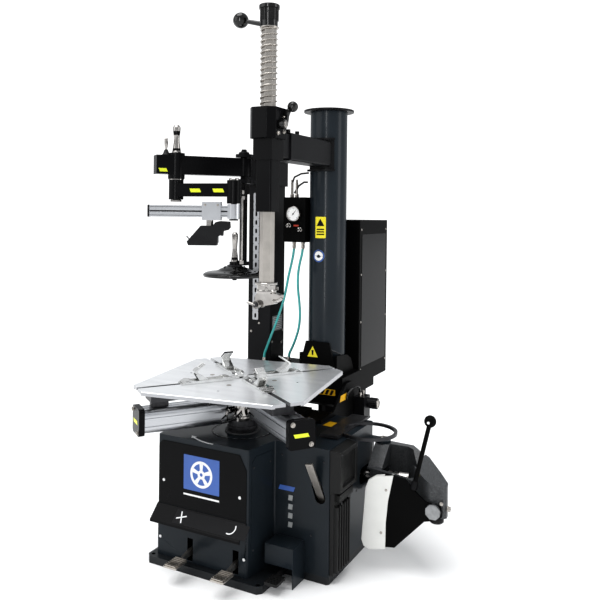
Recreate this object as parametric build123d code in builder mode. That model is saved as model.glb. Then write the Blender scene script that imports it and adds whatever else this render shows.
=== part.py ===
from build123d import *

import os
from math import atan2, cos, degrees, radians, sin

os.makedirs("parts", exist_ok=True)

# ---------------------------------------------------------------------------
# Tilt-column tyre changer with a bead-helper arm.  Millimetres, +Z up, +X to
# the right along the front panel, +Y to the back, origin on the floor under
# the turntable axis.
# ---------------------------------------------------------------------------

SHEET = 3.0
RUN = 0.05            # radial clearance of a running fit
GAP = 0.5             # free gap between parts that pass each other

TRAY_H = 25.0
CABINET_TOP = 443.0
FRONT_Y = -178.0
REAR_Y = 335.0
LEFT_X = -231.5
REAR_BOX_Y = -45.0    # front face of the rear box
RIGHT_X = 365.0

TABLE_TOP = 629.0
TABLE_SIDE = 611.0
CORNER_R = 377.0      # distance of the cut corners from the axis
PLATE = 10.0
SKIRT = 13.0          # full depth of the plates' outer rim
SLOT = 16.0
LEFT_SLOT = 234.0     # direction of each slot, in degrees
RIGHT_SLOT = 54.0
FRONT_SLOT = -36.0
BACK_SLOT = 144.0
JAW_TRAVEL = 95.0

SHAFT_X = 93.0
SHAFT_FLAT = 46.0     # across the flats of the hexagonal shaft
SHAFT_FOOT = 974.0
SHAFT_TOP = 1880.0
HEAD_Z = 1475.0
HEAD_TOP = 1582.0
GUIDE_FOOT = 1220.0

COLUMN = (90.0, 500.0)
COLUMN_R = 76.0
COLUMN_TOP = 1640.0
ARM_Z = (1406.0, 1506.0)
ARM_W = 92.0
ARM_WALL = 6.0
TILT_PIVOT = (455.0, 500.0)   # Y, Z of the tilt axis

POST_X = (-232.0, -122.0)
POST_Y = (400.0, 520.0)
POST_FOOT = 600.0
POST_TOP = 1440.0

PIVOT = (-176.0, 270.0)       # vertical pin of the upper helper arm
ELBOW = (-349.0, 57.0)
WRIST = (-116.0, 107.0)
UPPER_Z = (1361.0, 1433.0)
LOWER_Z = (1276.0, 1326.0)
BAR_Z = (1198.0, 1242.0)
BAR_ANGLE = 207.7
BAR_LENGTH = 316.0
SLIDER_AT = 82.0
DISC = (-200.0, 246.0)
DISC_Z = 975.0
DISC_R = 126.0

BREAKER_PIN = (400.0, 352.0)
BREAKER_Z = 268.0             # height of the cylinder and its rod
TRUNNION = (150.0, 238.0)
TRUNNION_R = 10.0
TRUNNION_HALF = 56.0          # from the cylinder's axis to the end of either stud
ROD_EYE = (497.0, 282.0)
BLADE_PIN = (660.0, 152.0)
BLADE_Z = 240.0


def flat(angle, origin):
    """Horizontal plane whose local x points along angle."""
    a = radians(angle)
    return Plane(origin=origin, x_dir=(cos(a), sin(a), 0), z_dir=(0, 0, 1))


def upright(angle, origin):
    """Vertical plane: local x along angle, local y up."""
    a = radians(angle)
    return Plane(origin=origin, x_dir=(cos(a), sin(a), 0), z_dir=(sin(a), -cos(a), 0))


def facing(angle, origin):
    """Vertical plane whose normal points along angle, local y up."""
    a = radians(angle)
    return Plane(origin=origin, x_dir=(-sin(a), cos(a), 0), z_dir=(cos(a), sin(a), 0))


def along(start, angle, distance):
    a = radians(angle)
    return (start[0] + distance * cos(a), start[1] + distance * sin(a))


def rod_plane(start, end):
    """Plane at start whose normal points to end."""
    return Plane(origin=start, z_dir=Vector(*end) - Vector(*start))


def ball(centre, radius):
    """A ball in the part being built."""
    with Locations(centre):
        Sphere(radius)


def save(builder, label):
    builder.part.label = label
    export_step(builder.part, f"parts/{label}.step")


def outline(points):
    """A straight-edged face in the current sketch, through the given corners."""
    return Polygon(*points, align=None)


# ---------------------------------------------------------------- cabinet --

TRAY = [
    (-245, -205), (188, -205), (202, -191), (202, -45), (358, -45), (365, -38),
    (365, 330), (350, 345), (-245, 345), (-259, 331), (-259, -191),
]
ANCHORS = [(-241, -187), (185, -191), (-245, 325)]
ANCHOR_R = 7.0
BODY = [
    (LEFT_X, FRONT_Y), (136, FRONT_Y), (160, REAR_BOX_Y), (RIGHT_X, REAR_BOX_Y),
    (RIGHT_X, REAR_Y), (LEFT_X, REAR_Y),
]
LEVER_HOLE = (326.0, 299.0)   # X, Z of the slot that holds the tyre lever
PEDALS = {"pedal_left": -91.0, "pedal_right": 92.0}
PEDAL_Z = 66.0
BORE_R = 62.0

with BuildPart() as base_tray:
    with BuildSketch():
        outline(TRAY)
    extrude(amount=TRAY_H)
    offset(amount=-SHEET, openings=base_tray.faces().sort_by(Axis.Z)[0])
    with BuildSketch(Plane.XY.offset(TRAY_H)):
        with Locations(*ANCHORS):
            Circle(ANCHOR_R)
    extrude(amount=-TRAY_H, mode=Mode.SUBTRACT)
    with BuildSketch():
        outline([(-60, -203), (60, -203), (60, 343), (-60, 343)])
    extrude(amount=SHEET)
save(base_tray, "base_tray")

with BuildPart() as cabinet:
    with BuildSketch(Plane.XY.offset(TRAY_H)):
        outline(BODY)
    extrude(amount=CABINET_TOP - TRAY_H)
    fillet(cabinet.edges().filter_by(Axis.Z), radius=6)
    offset(amount=-SHEET, openings=cabinet.faces().sort_by(Axis.Z)[0])
    with BuildSketch(Plane.XY.offset(CABINET_TOP)):
        Circle(BORE_R)
    extrude(amount=-4 * SHEET, mode=Mode.SUBTRACT)
    with BuildSketch(Plane.XZ.offset(-REAR_BOX_Y)):
        with Locations(LEVER_HOLE):
            SlotOverall(78, 38, rotation=-72)
    extrude(amount=4 * SHEET, both=True, mode=Mode.SUBTRACT)
    with BuildSketch(Plane.XZ.offset(-FRONT_Y)):
        with Locations(*[(x, 70) for x in PEDALS.values()]):
            Rectangle(26, 84)
    extrude(amount=4 * SHEET, both=True, mode=Mode.SUBTRACT)
    with BuildSketch(Plane.XZ.offset(-REAR_BOX_Y)):
        with Locations((228, 60)):
            Rectangle(30, 60)
    extrude(amount=4 * SHEET, both=True, mode=Mode.SUBTRACT)
    with BuildSketch(Plane.YZ.offset(RIGHT_X)):
        with Locations((268, BREAKER_Z)):
            SlotOverall(118, 60)
    extrude(amount=4 * SHEET, both=True, mode=Mode.SUBTRACT)
    # two shelves on the rear wall carry the studs of the breaker's cylinder
    for z in (BREAKER_Z - TRUNNION_HALF, BREAKER_Z + TRUNNION_HALF - 2 * SHEET):
        with BuildSketch(Plane.XY.offset(z)):
            outline([
                (TRUNNION[0] - 24, TRUNNION[1] - 20), (TRUNNION[0] + 24, TRUNNION[1] - 20),
                (TRUNNION[0] + 24, REAR_Y - SHEET), (TRUNNION[0] - 24, REAR_Y - SHEET),
            ])
            with Locations(TRUNNION):
                Circle(TRUNNION_R + RUN, mode=Mode.SUBTRACT)
        extrude(amount=2 * SHEET)
    with BuildSketch(Plane.XZ.offset(-REAR_Y)):
        with Locations((93, 398)):
            Circle(12)
    extrude(amount=4 * SHEET, both=True, mode=Mode.SUBTRACT)
save(cabinet, "cabinet")

COVER_T = 2.0
LEDGE_Z = 205.0
with BuildPart() as front_cover:
    with BuildSketch(Plane.XZ.offset(-FRONT_Y)):
        outline([
            (-227, LEDGE_Z + 2), (131, LEDGE_Z + 2), (131, 376), (117, 400),
            (104, 424), (-212, 424), (-227, 410),
        ])
    extrude(amount=COVER_T)
    fillet(front_cover.edges().filter_by(Axis.Y).sort_by(Axis.Z)[2:], radius=8)
    with BuildSketch(Plane.XZ.offset(-FRONT_Y)):
        with Locations((-205, 287), (106, 284)):
            Circle(3.2)
    extrude(amount=COVER_T, mode=Mode.SUBTRACT)
save(front_cover, "front_cover")

with BuildPart() as lower_cover:
    with BuildSketch(Plane.XZ.offset(-FRONT_Y)):
        outline([(-229, TRAY_H), (134, TRAY_H), (134, 164), (-229, 164)])
        with Locations(*[(x, 70) for x in PEDALS.values()]):
            Rectangle(22, 76, mode=Mode.SUBTRACT)
        with Locations((-218, 88), (124, 86)):
            Circle(3.2, mode=Mode.SUBTRACT)
    extrude(amount=COVER_T)
save(lower_cover, "lower_cover")

LEDGE = [
    (FRONT_Y, 166), (FRONT_Y, LEDGE_Z), (FRONT_Y - 2.5, LEDGE_Z), (-223, 162),
    (-223, 154), (-219, 152), (-218.5, 160), (FRONT_Y - 2.5, 200), (FRONT_Y - 2.5, 166),
]
with BuildPart() as deflector:
    with BuildSketch(Plane.YZ.offset(LEFT_X + 1.5)):
        outline(LEDGE)
    extrude(amount=362)
    fillet(deflector.edges().filter_by(Axis.Y).sort_by(Axis.Z)[:1], radius=1)
save(deflector, "deflector")

GUARD_X = (170.0, 276.0)
GUARD_Y = -125.0
with BuildPart() as pedal_guard:
    with BuildSketch(Plane.XY):
        outline([
            (GUARD_X[0], GUARD_Y), (GUARD_X[1], GUARD_Y), (GUARD_X[1], REAR_BOX_Y),
            (GUARD_X[0], REAR_BOX_Y),
        ])
    extrude(amount=130)
    with BuildSketch(Plane.XY):
        outline([
            (0, GUARD_Y + SHEET), (GUARD_X[1] - SHEET, GUARD_Y + SHEET),
            (GUARD_X[1] - SHEET, 0), (0, 0),
        ])
    extrude(amount=127, mode=Mode.SUBTRACT)
    with BuildSketch(Plane.XY):
        outline([
            (0, GUARD_Y - 9), (GUARD_X[1] - SHEET, GUARD_Y - 9),
            (GUARD_X[1] - SHEET, 0), (0, 0),
        ])
    extrude(amount=64, mode=Mode.SUBTRACT)
save(pedal_guard, "pedal_guard")

with BuildPart() as side_pad:
    with BuildSketch(Plane.YZ.offset(RIGHT_X)):
        outline([(-43, 302), (105, 302), (105, 440), (-43, 440)])
    extrude(amount=38, taper=4)
    with BuildSketch(Plane.YZ.offset(RIGHT_X + 38)):
        outline([(-18, 318), (82, 318), (82, 420), (-18, 420)])
    extrude(amount=-10, mode=Mode.SUBTRACT)
    with BuildSketch(Plane.YZ.offset(RIGHT_X)):
        outline([(-40, 30), (74, 30), (74, 214), (98, 222), (98, 304), (-40, 304)])
    extrude(amount=14)
    with BuildSketch(Plane.YZ.offset(RIGHT_X + 14)):
        with Locations(*[(y, 146) for y in range(-28, 74, 19)]):
            Rectangle(9, 216)
        with Locations((36, 278)):
            Rectangle(112, 24)
    extrude(amount=12)
save(side_pad, "side_pad")

# -------------------------------------------------------------- gear motor --

SPINDLE_R = 28.0
MOTOR_Y = 36.0
with BuildPart() as gearmotor:
    with BuildSketch(Plane.XY.offset(290)):
        RectangleRounded(220, 170, 18)
    extrude(amount=130)
    with BuildSketch(Plane.XY.offset(420)):
        Rectangle(250, 200)
    extrude(amount=20)
    with BuildSketch(Plane.XY.offset(440)):
        Circle(BORE_R - GAP)
    extrude(amount=8)
    for start, length, radius in ((110, 16, 60), (126, 176, 68), (302, 26, 60)):
        with BuildSketch(Plane.YZ.offset(start)):
            with Locations((MOTOR_Y, 345)):
                Circle(radius)
        extrude(amount=length)
    with BuildSketch(Plane.YZ.offset(136)):
        with Locations((MOTOR_Y, 345)):
            with PolarLocations(70, 24):
                Rectangle(9, 4)
    extrude(amount=156)
    with BuildSketch(Plane.XY.offset(448)):
        Circle(SPINDLE_R + RUN)
    extrude(amount=-128, mode=Mode.SUBTRACT)
save(gearmotor, "gearmotor")

# --------------------------------------------------------------- turntable --

ROD_LEFT_OFFSET = -46.0    # sideways place of the left-hand cylinder, along the front slot
ROD_FRONT_OFFSET = 40.0    # sideways place of the front cylinder, along the right slot
ROD_LEFT_Z = 508.0
ROD_FRONT_Z = 533.0
ROD_R = 9.0
BARREL_W = 84.0
BARREL_IN = 58.0
BORE = 32.0

with BuildPart() as spindle:
    with BuildSketch(Plane.XY.offset(321)):
        Circle(SPINDLE_R)
    extrude(amount=256)
    with BuildSketch(Plane.XY.offset(577)):
        Circle(86)
    extrude(amount=7)
save(spindle, "spindle")

with BuildPart() as guide_cross:
    with BuildSketch(flat(RIGHT_SLOT, (0, 0, 584))):
        Rectangle(680, 74)
        Rectangle(74, 680)
        Rectangle(640, SLOT, mode=Mode.SUBTRACT)
        Rectangle(SLOT, 640, mode=Mode.SUBTRACT)
        Circle(40)
    extrude(amount=TABLE_TOP - PLATE - 584)
save(guide_cross, "guide_cross")

TABLE_HALF_DIAGONAL = TABLE_SIDE / 2 ** 0.5
with BuildPart() as table_plates:
    with BuildSketch(flat(RIGHT_SLOT + 45, (0, 0, TABLE_TOP - PLATE))):
        Rectangle(TABLE_SIDE, TABLE_SIDE)
    extrude(amount=PLATE)
    with BuildSketch(flat(RIGHT_SLOT + 45, (0, 0, TABLE_TOP - SKIRT))):
        Rectangle(TABLE_SIDE, TABLE_SIDE)
        Rectangle(TABLE_SIDE - 16, TABLE_SIDE - 16, mode=Mode.SUBTRACT)
    extrude(amount=SKIRT - PLATE)
    fillet(table_plates.edges().group_by(Axis.Z)[-1], radius=4)
    for angle in (LEFT_SLOT, RIGHT_SLOT, FRONT_SLOT, BACK_SLOT):
        with BuildSketch(flat(angle, (0, 0, TABLE_TOP - 40))):
            with Locations((CORNER_R + 60, 0)):
                Rectangle(120, 300)
            with Locations((250, 0)):
                Rectangle(500, SLOT)
            with Locations((CORNER_R - 20, 0)):
                Rectangle(80, 80)
        extrude(amount=40 - PLATE, mode=Mode.SUBTRACT)
        with BuildSketch(flat(angle, (0, 0, TABLE_TOP - PLATE))):
            with Locations((CORNER_R + 60, 0)):
                Rectangle(120, 300)
            with Locations((250, 0)):
                Rectangle(500, SLOT)
        extrude(amount=PLATE, mode=Mode.SUBTRACT)
    with BuildSketch(flat(RIGHT_SLOT + 45, (0, 0, TABLE_TOP))):
        with PolarLocations(205, 4, start_angle=0):
            Circle(4)
    extrude(amount=-PLATE, mode=Mode.SUBTRACT)
save(table_plates, "table_plates")

with BuildPart() as rotary_hub:
    with BuildSketch(Plane.XY.offset(449)):
        Circle(50)
        Circle(SPINDLE_R, mode=Mode.SUBTRACT)
    extrude(amount=38)
    with BuildSketch(Plane.XY.offset(455)):
        Circle(54)
        Circle(SPINDLE_R, mode=Mode.SUBTRACT)
    extrude(amount=12)
save(rotary_hub, "rotary_hub")


def clamp_barrel(slot_angle, offset_y, height, length):
    """Extruded aluminium cylinder under the table; local x along the slot."""
    with BuildPart() as barrel:
        with BuildSketch(facing(slot_angle, (0, 0, 0))):
            with Locations((offset_y, height)):
                RectangleRounded(BARREL_W, BARREL_W, 30)
                Circle(BORE, mode=Mode.SUBTRACT)
        extrude(amount=length)
        with BuildSketch(facing(slot_angle, (0, 0, 0))):
            with Locations((offset_y, height)):
                Circle(BARREL_W)
        extrude(amount=BARREL_IN, mode=Mode.SUBTRACT)
        start = along((0, 0), slot_angle, BARREL_IN)
        with BuildSketch(facing(slot_angle, (start[0], start[1], 0))):
            with Locations((offset_y, height)):
                Circle(BORE + 1)
                Circle(ROD_R + RUN, mode=Mode.SUBTRACT)
        extrude(amount=16)
        with BuildSketch(Plane.XY.offset(height + BARREL_W / 2 - 4)):
            with Locations(along(along((0, 0), slot_angle, 290), slot_angle + 90, offset_y)):
                Rectangle(60, 30, rotation=slot_angle)
        extrude(amount=584 - height - BARREL_W / 2 + 4)
    return barrel


CAP_LEFT_AT = 350.0
CAP_FRONT_AT = 376.0
# Sideways offset in each barrel's own frame (its local y is the slot angle + 90).
left_barrel = clamp_barrel(LEFT_SLOT, ROD_LEFT_OFFSET, ROD_LEFT_Z, CAP_LEFT_AT)
save(left_barrel, "clamp_barrel_left")
front_barrel = clamp_barrel(FRONT_SLOT, ROD_FRONT_OFFSET, ROD_FRONT_Z, CAP_FRONT_AT)
save(front_barrel, "clamp_barrel_front")

with BuildPart() as clamp_caps:
    for angle, side, height, reach in (
        (LEFT_SLOT, ROD_LEFT_OFFSET, ROD_LEFT_Z, CAP_LEFT_AT),
        (FRONT_SLOT, ROD_FRONT_OFFSET, ROD_FRONT_Z, CAP_FRONT_AT),
    ):
        start = along((0, 0), angle, reach)
        with BuildSketch(facing(angle, (start[0], start[1], 0))):
            with Locations((side, height)):
                RectangleRounded(BARREL_W + 8, BARREL_W + 8, 12)
        extrude(amount=20)
save(clamp_caps, "clamp_caps")

JAW_NAMES = {
    "jaw_left": LEFT_SLOT, "jaw_right": RIGHT_SLOT,
    "jaw_front": FRONT_SLOT, "jaw_back": BACK_SLOT,
}
HOOK = [
    (140, 641), (163, 641), (188, 662), (190, 670), (158, 692), (146, 696),
    (144, 689), (176, 667), (158, 650), (140, 648),
]
CARRIAGE = [(44, 629.5), (232, 629.5), (214, 641), (60, 641), (44, 635)]


def jaw(slot_angle):
    """Sliding carriage with its hooked clamping jaw and the stem in the slot."""
    with BuildPart() as piece:
        with BuildSketch(upright(slot_angle, (0, 0, 0))):
            outline(CARRIAGE)
        extrude(amount=23, both=True)
        with BuildSketch(upright(slot_angle, (0, 0, 0))):
            outline([(60, 588), (214, 588), (214, 630), (60, 630)])
        extrude(amount=SLOT / 2 - GAP, both=True)
        with BuildSketch(upright(slot_angle, (0, 0, 0))):
            outline(HOOK)
        extrude(amount=17, both=True)
    return piece


for name, angle in JAW_NAMES.items():
    save(jaw(angle), name)


def clamp_rod(slot_angle, offset_y, height, tail):
    """Piston rod; it leaves its barrel at the slot's inner end and hangs on the
    opposite jaw's stem."""
    with BuildPart() as rod:
        with BuildSketch(facing(slot_angle, (0, 0, 0))):
            with Locations((offset_y, height)):
                Circle(ROD_R)
        extrude(amount=250)
        with BuildSketch(facing(slot_angle, (0, 0, 0))):
            with Locations((offset_y, height)):
                Circle(ROD_R)
        extrude(amount=-tail)
        piston = along((0, 0), slot_angle, 236)
        with BuildSketch(facing(slot_angle, (piston[0], piston[1], 0))):
            with Locations((offset_y, height)):
                Circle(BORE - RUN)
        extrude(amount=24)
        with BuildSketch(upright(slot_angle + 180, (0, 0, 0))):
            outline([
                (tail - 24, height - 14), (tail, height - 14), (tail, 588), (tail - 24, 588),
            ])
        extrude(amount=6, both=True)
        centre = along((0, 0), slot_angle + 180, tail - 12)
        with BuildSketch(flat(slot_angle, (centre[0], centre[1], height - 14))):
            with Locations((0, offset_y / 2)):
                Rectangle(24, abs(offset_y) + 24)
        extrude(amount=28)
    return rod


save(clamp_rod(LEFT_SLOT, ROD_LEFT_OFFSET, ROD_LEFT_Z, 170), "clamp_rod_left")
save(clamp_rod(FRONT_SLOT, ROD_FRONT_OFFSET, ROD_FRONT_Z, 170), "clamp_rod_front")

# ------------------------------------------------------------------ pedals --


def pedal(x):
    """Bent lever on its pivot boss, with a ribbed tread out in front."""
    with BuildPart() as piece:
        with BuildSketch(Plane.YZ.offset(x)):
            outline([
                (30, 54), (-236, 50), (-262, 54), (-262, 62), (-236, 60), (-180, 74),
                (30, 80),
            ])
        extrude(amount=5, both=True)
        with BuildSketch(Plane.YZ.offset(x)):
            with Locations((30, 67)):
                Circle(15)
        extrude(amount=13, both=True)
        with BuildSketch(Plane.XY.offset(PEDAL_Z - 6)):
            with Locations((x + 8, -270)):
                RectangleRounded(50, 66, 4)
        extrude(amount=6)
        with BuildSketch(Plane.XY.offset(PEDAL_Z)):
            with Locations(*[(x + 8, -296 + 10.5 * i) for i in range(6)]):
                Rectangle(44, 5)
        extrude(amount=2.5)
        with BuildSketch(Plane.YZ.offset(x)):
            with Locations((30, 67)):
                Circle(8 + RUN)
        extrude(amount=20, both=True, mode=Mode.SUBTRACT)
    return piece


for name, x in PEDALS.items():
    save(pedal(x), name)

with BuildPart() as side_pedal:
    with BuildSketch(Plane.YZ.offset(228)):
        outline([(30, 52), (-190, 30), (-190, 38), (-60, 58), (30, 76)])
    extrude(amount=5, both=True)
    with BuildSketch(Plane.YZ.offset(228)):
        with Locations((30, 67)):
            Circle(15)
    extrude(amount=13, both=True)
    with BuildSketch(Plane.XY.offset(34)):
        with Locations((232, -166)):
            RectangleRounded(48, 58, 4)
    extrude(amount=9)
    with BuildSketch(Plane.YZ.offset(228)):
        with Locations((30, 67)):
            Circle(8 + RUN)
    extrude(amount=20, both=True, mode=Mode.SUBTRACT)
save(side_pedal, "side_pedal")

PEDAL_BLOCKS = (-150.0, -35.0, 35.0, 150.0, 280.0)
with BuildPart() as pedal_shaft:
    with BuildSketch(Plane.YZ.offset(-165)):
        with Locations((30, 67)):
            Circle(8)
    extrude(amount=460)
    for x in PEDAL_BLOCKS:
        with BuildSketch(Plane.YZ.offset(x - 7)):
            outline([(8, TRAY_H), (52, TRAY_H), (52, 74), (40, 86), (20, 86), (8, 74)])
        extrude(amount=14)
save(pedal_shaft, "pedal_shaft")

# -------------------------------------------------------------- tyre lever --

LEVER_DIR = (-0.12, -0.42, 0.9)
LEVER_IN = 104.0
LEVER_OUT = 106.0
lever_plane = Plane(
    origin=(LEVER_HOLE[0] - 1, REAR_BOX_Y + 1, LEVER_HOLE[1] + 8),
    x_dir=(0.9912, 0, 0.1322), z_dir=LEVER_DIR,
)
with BuildPart() as tyre_lever:
    with BuildSketch(lever_plane.offset(-LEVER_IN)):
        Rectangle(26, 7)
    extrude(amount=LEVER_IN + LEVER_OUT)
save(tyre_lever, "tyre_lever")

# ------------------------------------------------------------ tilt column --

# The rising front edge of each cheek keeps outside the circle that the
# clamping cylinders sweep.
CHEEK_FRONT = {-28.0: [(392, 458), (420, 520)], 204.0: [(310, 462), (390, 520)]}
CHEEK_REST = [
    (432, 545), (480, 545), (505, 520), (505, 425), (480, 400), (REAR_Y, 360),
    (REAR_Y, CABINET_TOP), (200, CABINET_TOP), (200, 456),
]
PIN_R = 16.0
TILT_ROD_Z = 398.0
TILT_EYE_R = 7.0
with BuildPart() as tilt_bracket:
    for x, front_edge in CHEEK_FRONT.items():
        with BuildSketch(Plane.YZ.offset(x)):
            outline(front_edge + CHEEK_REST)
        extrude(amount=10)
    with BuildSketch(Plane.XY.offset(CABINET_TOP)):
        outline([(-28, 200), (214, 200), (214, REAR_Y), (-28, REAR_Y)])
    extrude(amount=8)
    with BuildSketch(Plane.YZ.offset(-34)):
        with Locations(TILT_PIVOT):
            Circle(PIN_R)
    extrude(amount=254)
    with BuildSketch(Plane.XY.offset(451)):
        with Locations((COLUMN[0], 268)):
            Rectangle(60, 90)
    extrude(amount=14)
save(tilt_bracket, "tilt_bracket")

BASE_X = (-17.0, 203.0)
BASE_W = BASE_X[1] - BASE_X[0]
BASE_MID = (BASE_X[0] + BASE_X[1]) / 2
with BuildPart() as tilt_base:
    with BuildSketch(Plane.YZ.offset(BASE_X[0] + 0.5)):
        outline([
            (412, 458), (412, 566), (600, 566), (600, 470), (570, 446), (424, 446),
        ])
    extrude(amount=BASE_W - 1)
    with BuildSketch(Plane.XZ.offset(-412)):
        outline([(3, 566), (177, 566), (142, 700), (38, 700)])
    extrude(amount=-10)
    for x in (6.0, 164.0):
        with BuildSketch(Plane.YZ.offset(x)):
            outline([(420, 560), (596, 560), (560, 620), (520, 640), (420, 650)])
        extrude(amount=10)
    with BuildSketch(Plane.YZ.offset(BASE_MID)):
        outline([(438, 450), (438, 374), (472, 374), (472, 450)])
    extrude(amount=8, both=True)
    with BuildSketch(Plane.XY.offset(556)):
        outline([
            (-236, 400), (-158, 400), (-158, 380), (-128, 380), (-128, 404),
            (20, 420), (20, 520), (-236, 520),
        ])
    extrude(amount=POST_FOOT - 556)
    with BuildSketch(Plane.YZ.offset(-40)):
        with Locations(TILT_PIVOT):
            Circle(PIN_R + RUN)
    extrude(amount=300, mode=Mode.SUBTRACT)
    with BuildSketch(Plane.YZ.offset(BASE_MID)):
        with Locations((TILT_PIVOT[0], TILT_ROD_Z - 4)):
            SlotOverall(28, 2 * TILT_EYE_R + 4, rotation=90)
    extrude(amount=20, both=True, mode=Mode.SUBTRACT)
    with BuildSketch(Plane.XY.offset(566)):
        with Locations(COLUMN):
            Circle(COLUMN_R)
    extrude(amount=160, mode=Mode.SUBTRACT)
save(tilt_base, "tilt_base")

with BuildPart() as tilt_cylinder:
    with BuildSketch(Plane.XZ.offset(-130)):
        with Locations((BASE_MID, TILT_ROD_Z)):
            RectangleRounded(74, 74, 14)
    extrude(amount=-192)
    with BuildSketch(Plane.XZ.offset(-142)):
        with Locations((BASE_MID, TILT_ROD_Z)):
            Circle(31)
    extrude(amount=-166, mode=Mode.SUBTRACT)
    with BuildSketch(Plane.XZ.offset(-300)):
        with Locations((BASE_MID, TILT_ROD_Z)):
            Circle(9 + RUN)
    extrude(amount=-40, mode=Mode.SUBTRACT)
save(tilt_cylinder, "tilt_cylinder")

with BuildPart() as tilt_rod:
    with BuildSketch(Plane.XZ.offset(-250)):
        with Locations((BASE_MID, TILT_ROD_Z)):
            Circle(31 - RUN)
    extrude(amount=-20)
    with BuildSketch(Plane.XZ.offset(-250)):
        with Locations((BASE_MID, TILT_ROD_Z)):
            Circle(9)
    extrude(amount=-165)
    with BuildSketch(Plane.XY.offset(TILT_ROD_Z - 10)):
        outline([
            (BASE_MID - 16, 408), (BASE_MID + 16, 408), (BASE_MID + 16, 464),
            (BASE_MID + 9, 464), (BASE_MID + 9, 424), (BASE_MID - 9, 424),
            (BASE_MID - 9, 464), (BASE_MID - 16, 464),
        ])
    extrude(amount=20)
    with BuildSketch(Plane.YZ.offset(BASE_MID)):
        with Locations((TILT_PIVOT[0], TILT_ROD_Z)):
            Circle(TILT_EYE_R)
    extrude(amount=12, both=True)
save(tilt_rod, "tilt_rod")

with BuildPart() as column:
    with BuildSketch(Plane.XY.offset(566)):
        with Locations(COLUMN):
            Circle(COLUMN_R)
            Circle(COLUMN_R - 5, mode=Mode.SUBTRACT)
    extrude(amount=COLUMN_TOP - 566)
save(column, "column")

ARM_MID = (ARM_Z[0] + ARM_Z[1]) / 2
ARM_FRONT = 92.0
ARM_BACK = COLUMN[1] - 60
SADDLE_R = 84.0
COLLAR_R = 95.0
with BuildPart() as column_head:
    with BuildSketch(Plane.XY.offset(COLUMN_TOP - 8)):
        with Locations(COLUMN):
            Circle(103)
            Circle(COLUMN_R, mode=Mode.SUBTRACT)
    extrude(amount=8)
    # the saddle wraps the front quarter of the column, between two collar plates
    for z, height, radius in ((1387, 8, COLLAR_R), (1395, 117, SADDLE_R), (1512, 8, COLLAR_R)):
        with BuildSketch(Plane.XY.offset(z)):
            with Locations(COLUMN):
                Circle(radius)
                Circle(COLUMN_R, mode=Mode.SUBTRACT)
            Polygon(
                COLUMN, (COLUMN[0] - 130, COLUMN[1] - 150), (COLUMN[0] + 130, COLUMN[1] - 150),
                align=None, mode=Mode.INTERSECT,
            )
        extrude(amount=height)

    with BuildSketch(Plane.XZ.offset(-ARM_FRONT)):
        with Locations((COLUMN[0], ARM_MID)):
            RectangleRounded(ARM_W, ARM_Z[1] - ARM_Z[0], 8)
            RectangleRounded(
                ARM_W - 2 * ARM_WALL, ARM_Z[1] - ARM_Z[0] - 2 * ARM_WALL, 5,
                mode=Mode.SUBTRACT,
            )
    extrude(amount=ARM_FRONT - ARM_BACK)
    with BuildSketch(Plane.XY.offset(1300)):
        with Locations(COLUMN):
            Circle(COLUMN_R)
    extrude(amount=400, mode=Mode.SUBTRACT)
    with BuildSketch(Plane.XY.offset(ARM_Z[1] - 2)):
        with Locations((68, 112), (112, 112), (68, 180), (112, 180)):
            RegularPolygon(9, 6)
    extrude(amount=16)
save(column_head, "column_head")

HEAD_W = 100.0
HEAD_Y = (-58.0, 44.0)
with BuildPart() as arm_tube:
    with BuildSketch(Plane.XZ.offset(-HEAD_Y[1])):
        with Locations((COLUMN[0], ARM_MID)):
            RectangleRounded(
                ARM_W - 2 * ARM_WALL - 0.1, ARM_Z[1] - ARM_Z[0] - 2 * ARM_WALL - 0.1, 4.9,
            )
            Rectangle(
                ARM_W - 4 * ARM_WALL, ARM_Z[1] - ARM_Z[0] - 4 * ARM_WALL,
                mode=Mode.SUBTRACT,
            )
    extrude(amount=HEAD_Y[1] - 400)
save(arm_tube, "arm_tube")

GUIDE_W = 64.0
with BuildPart() as head_box:
    with BuildSketch(Plane.XY.offset(1400)):
        outline([
            (42, 44), (42, -38), (62, -58), (120, -58), (144, -34), (144, 44),
        ])
    extrude(amount=HEAD_TOP - 1400)
    fillet(head_box.edges().filter_by(Axis.Z), radius=5)
    with BuildSketch(Plane.XY.offset(1400)):
        with Locations((SHAFT_X, 0)):
            Rectangle(160, 160)
            Rectangle(GUIDE_W + 12, GUIDE_W + 12, mode=Mode.SUBTRACT)
    extrude(amount=HEAD_Z - 1400, mode=Mode.SUBTRACT)
    with BuildSketch(Plane.XY.offset(1400)):
        outline([(55, 30), (131, 30), (131, 44), (55, 44)])
    extrude(amount=100)
    with BuildSketch(Plane.XY.offset(GUIDE_FOOT)):
        with Locations((SHAFT_X, 0)):
            RectangleRounded(GUIDE_W, GUIDE_W, 8)
    extrude(amount=HEAD_Z - GUIDE_FOOT)
    with BuildSketch(Plane.XY.offset(GUIDE_FOOT - 10)):
        with Locations((SHAFT_X, 0)):
            RegularPolygon(SHAFT_FLAT / 2 + RUN, 6, major_radius=False, rotation=30)
    extrude(amount=420, mode=Mode.SUBTRACT)
save(head_box, "head_box")

with BuildPart() as tool_shaft:
    with BuildSketch(Plane.XY.offset(SHAFT_FOOT - 24)):
        with Locations((SHAFT_X, 0)):
            RegularPolygon(SHAFT_FLAT / 2, 6, major_radius=False, rotation=30)
    extrude(amount=SHAFT_TOP - SHAFT_FOOT + 24)
save(tool_shaft, "tool_shaft")

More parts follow.
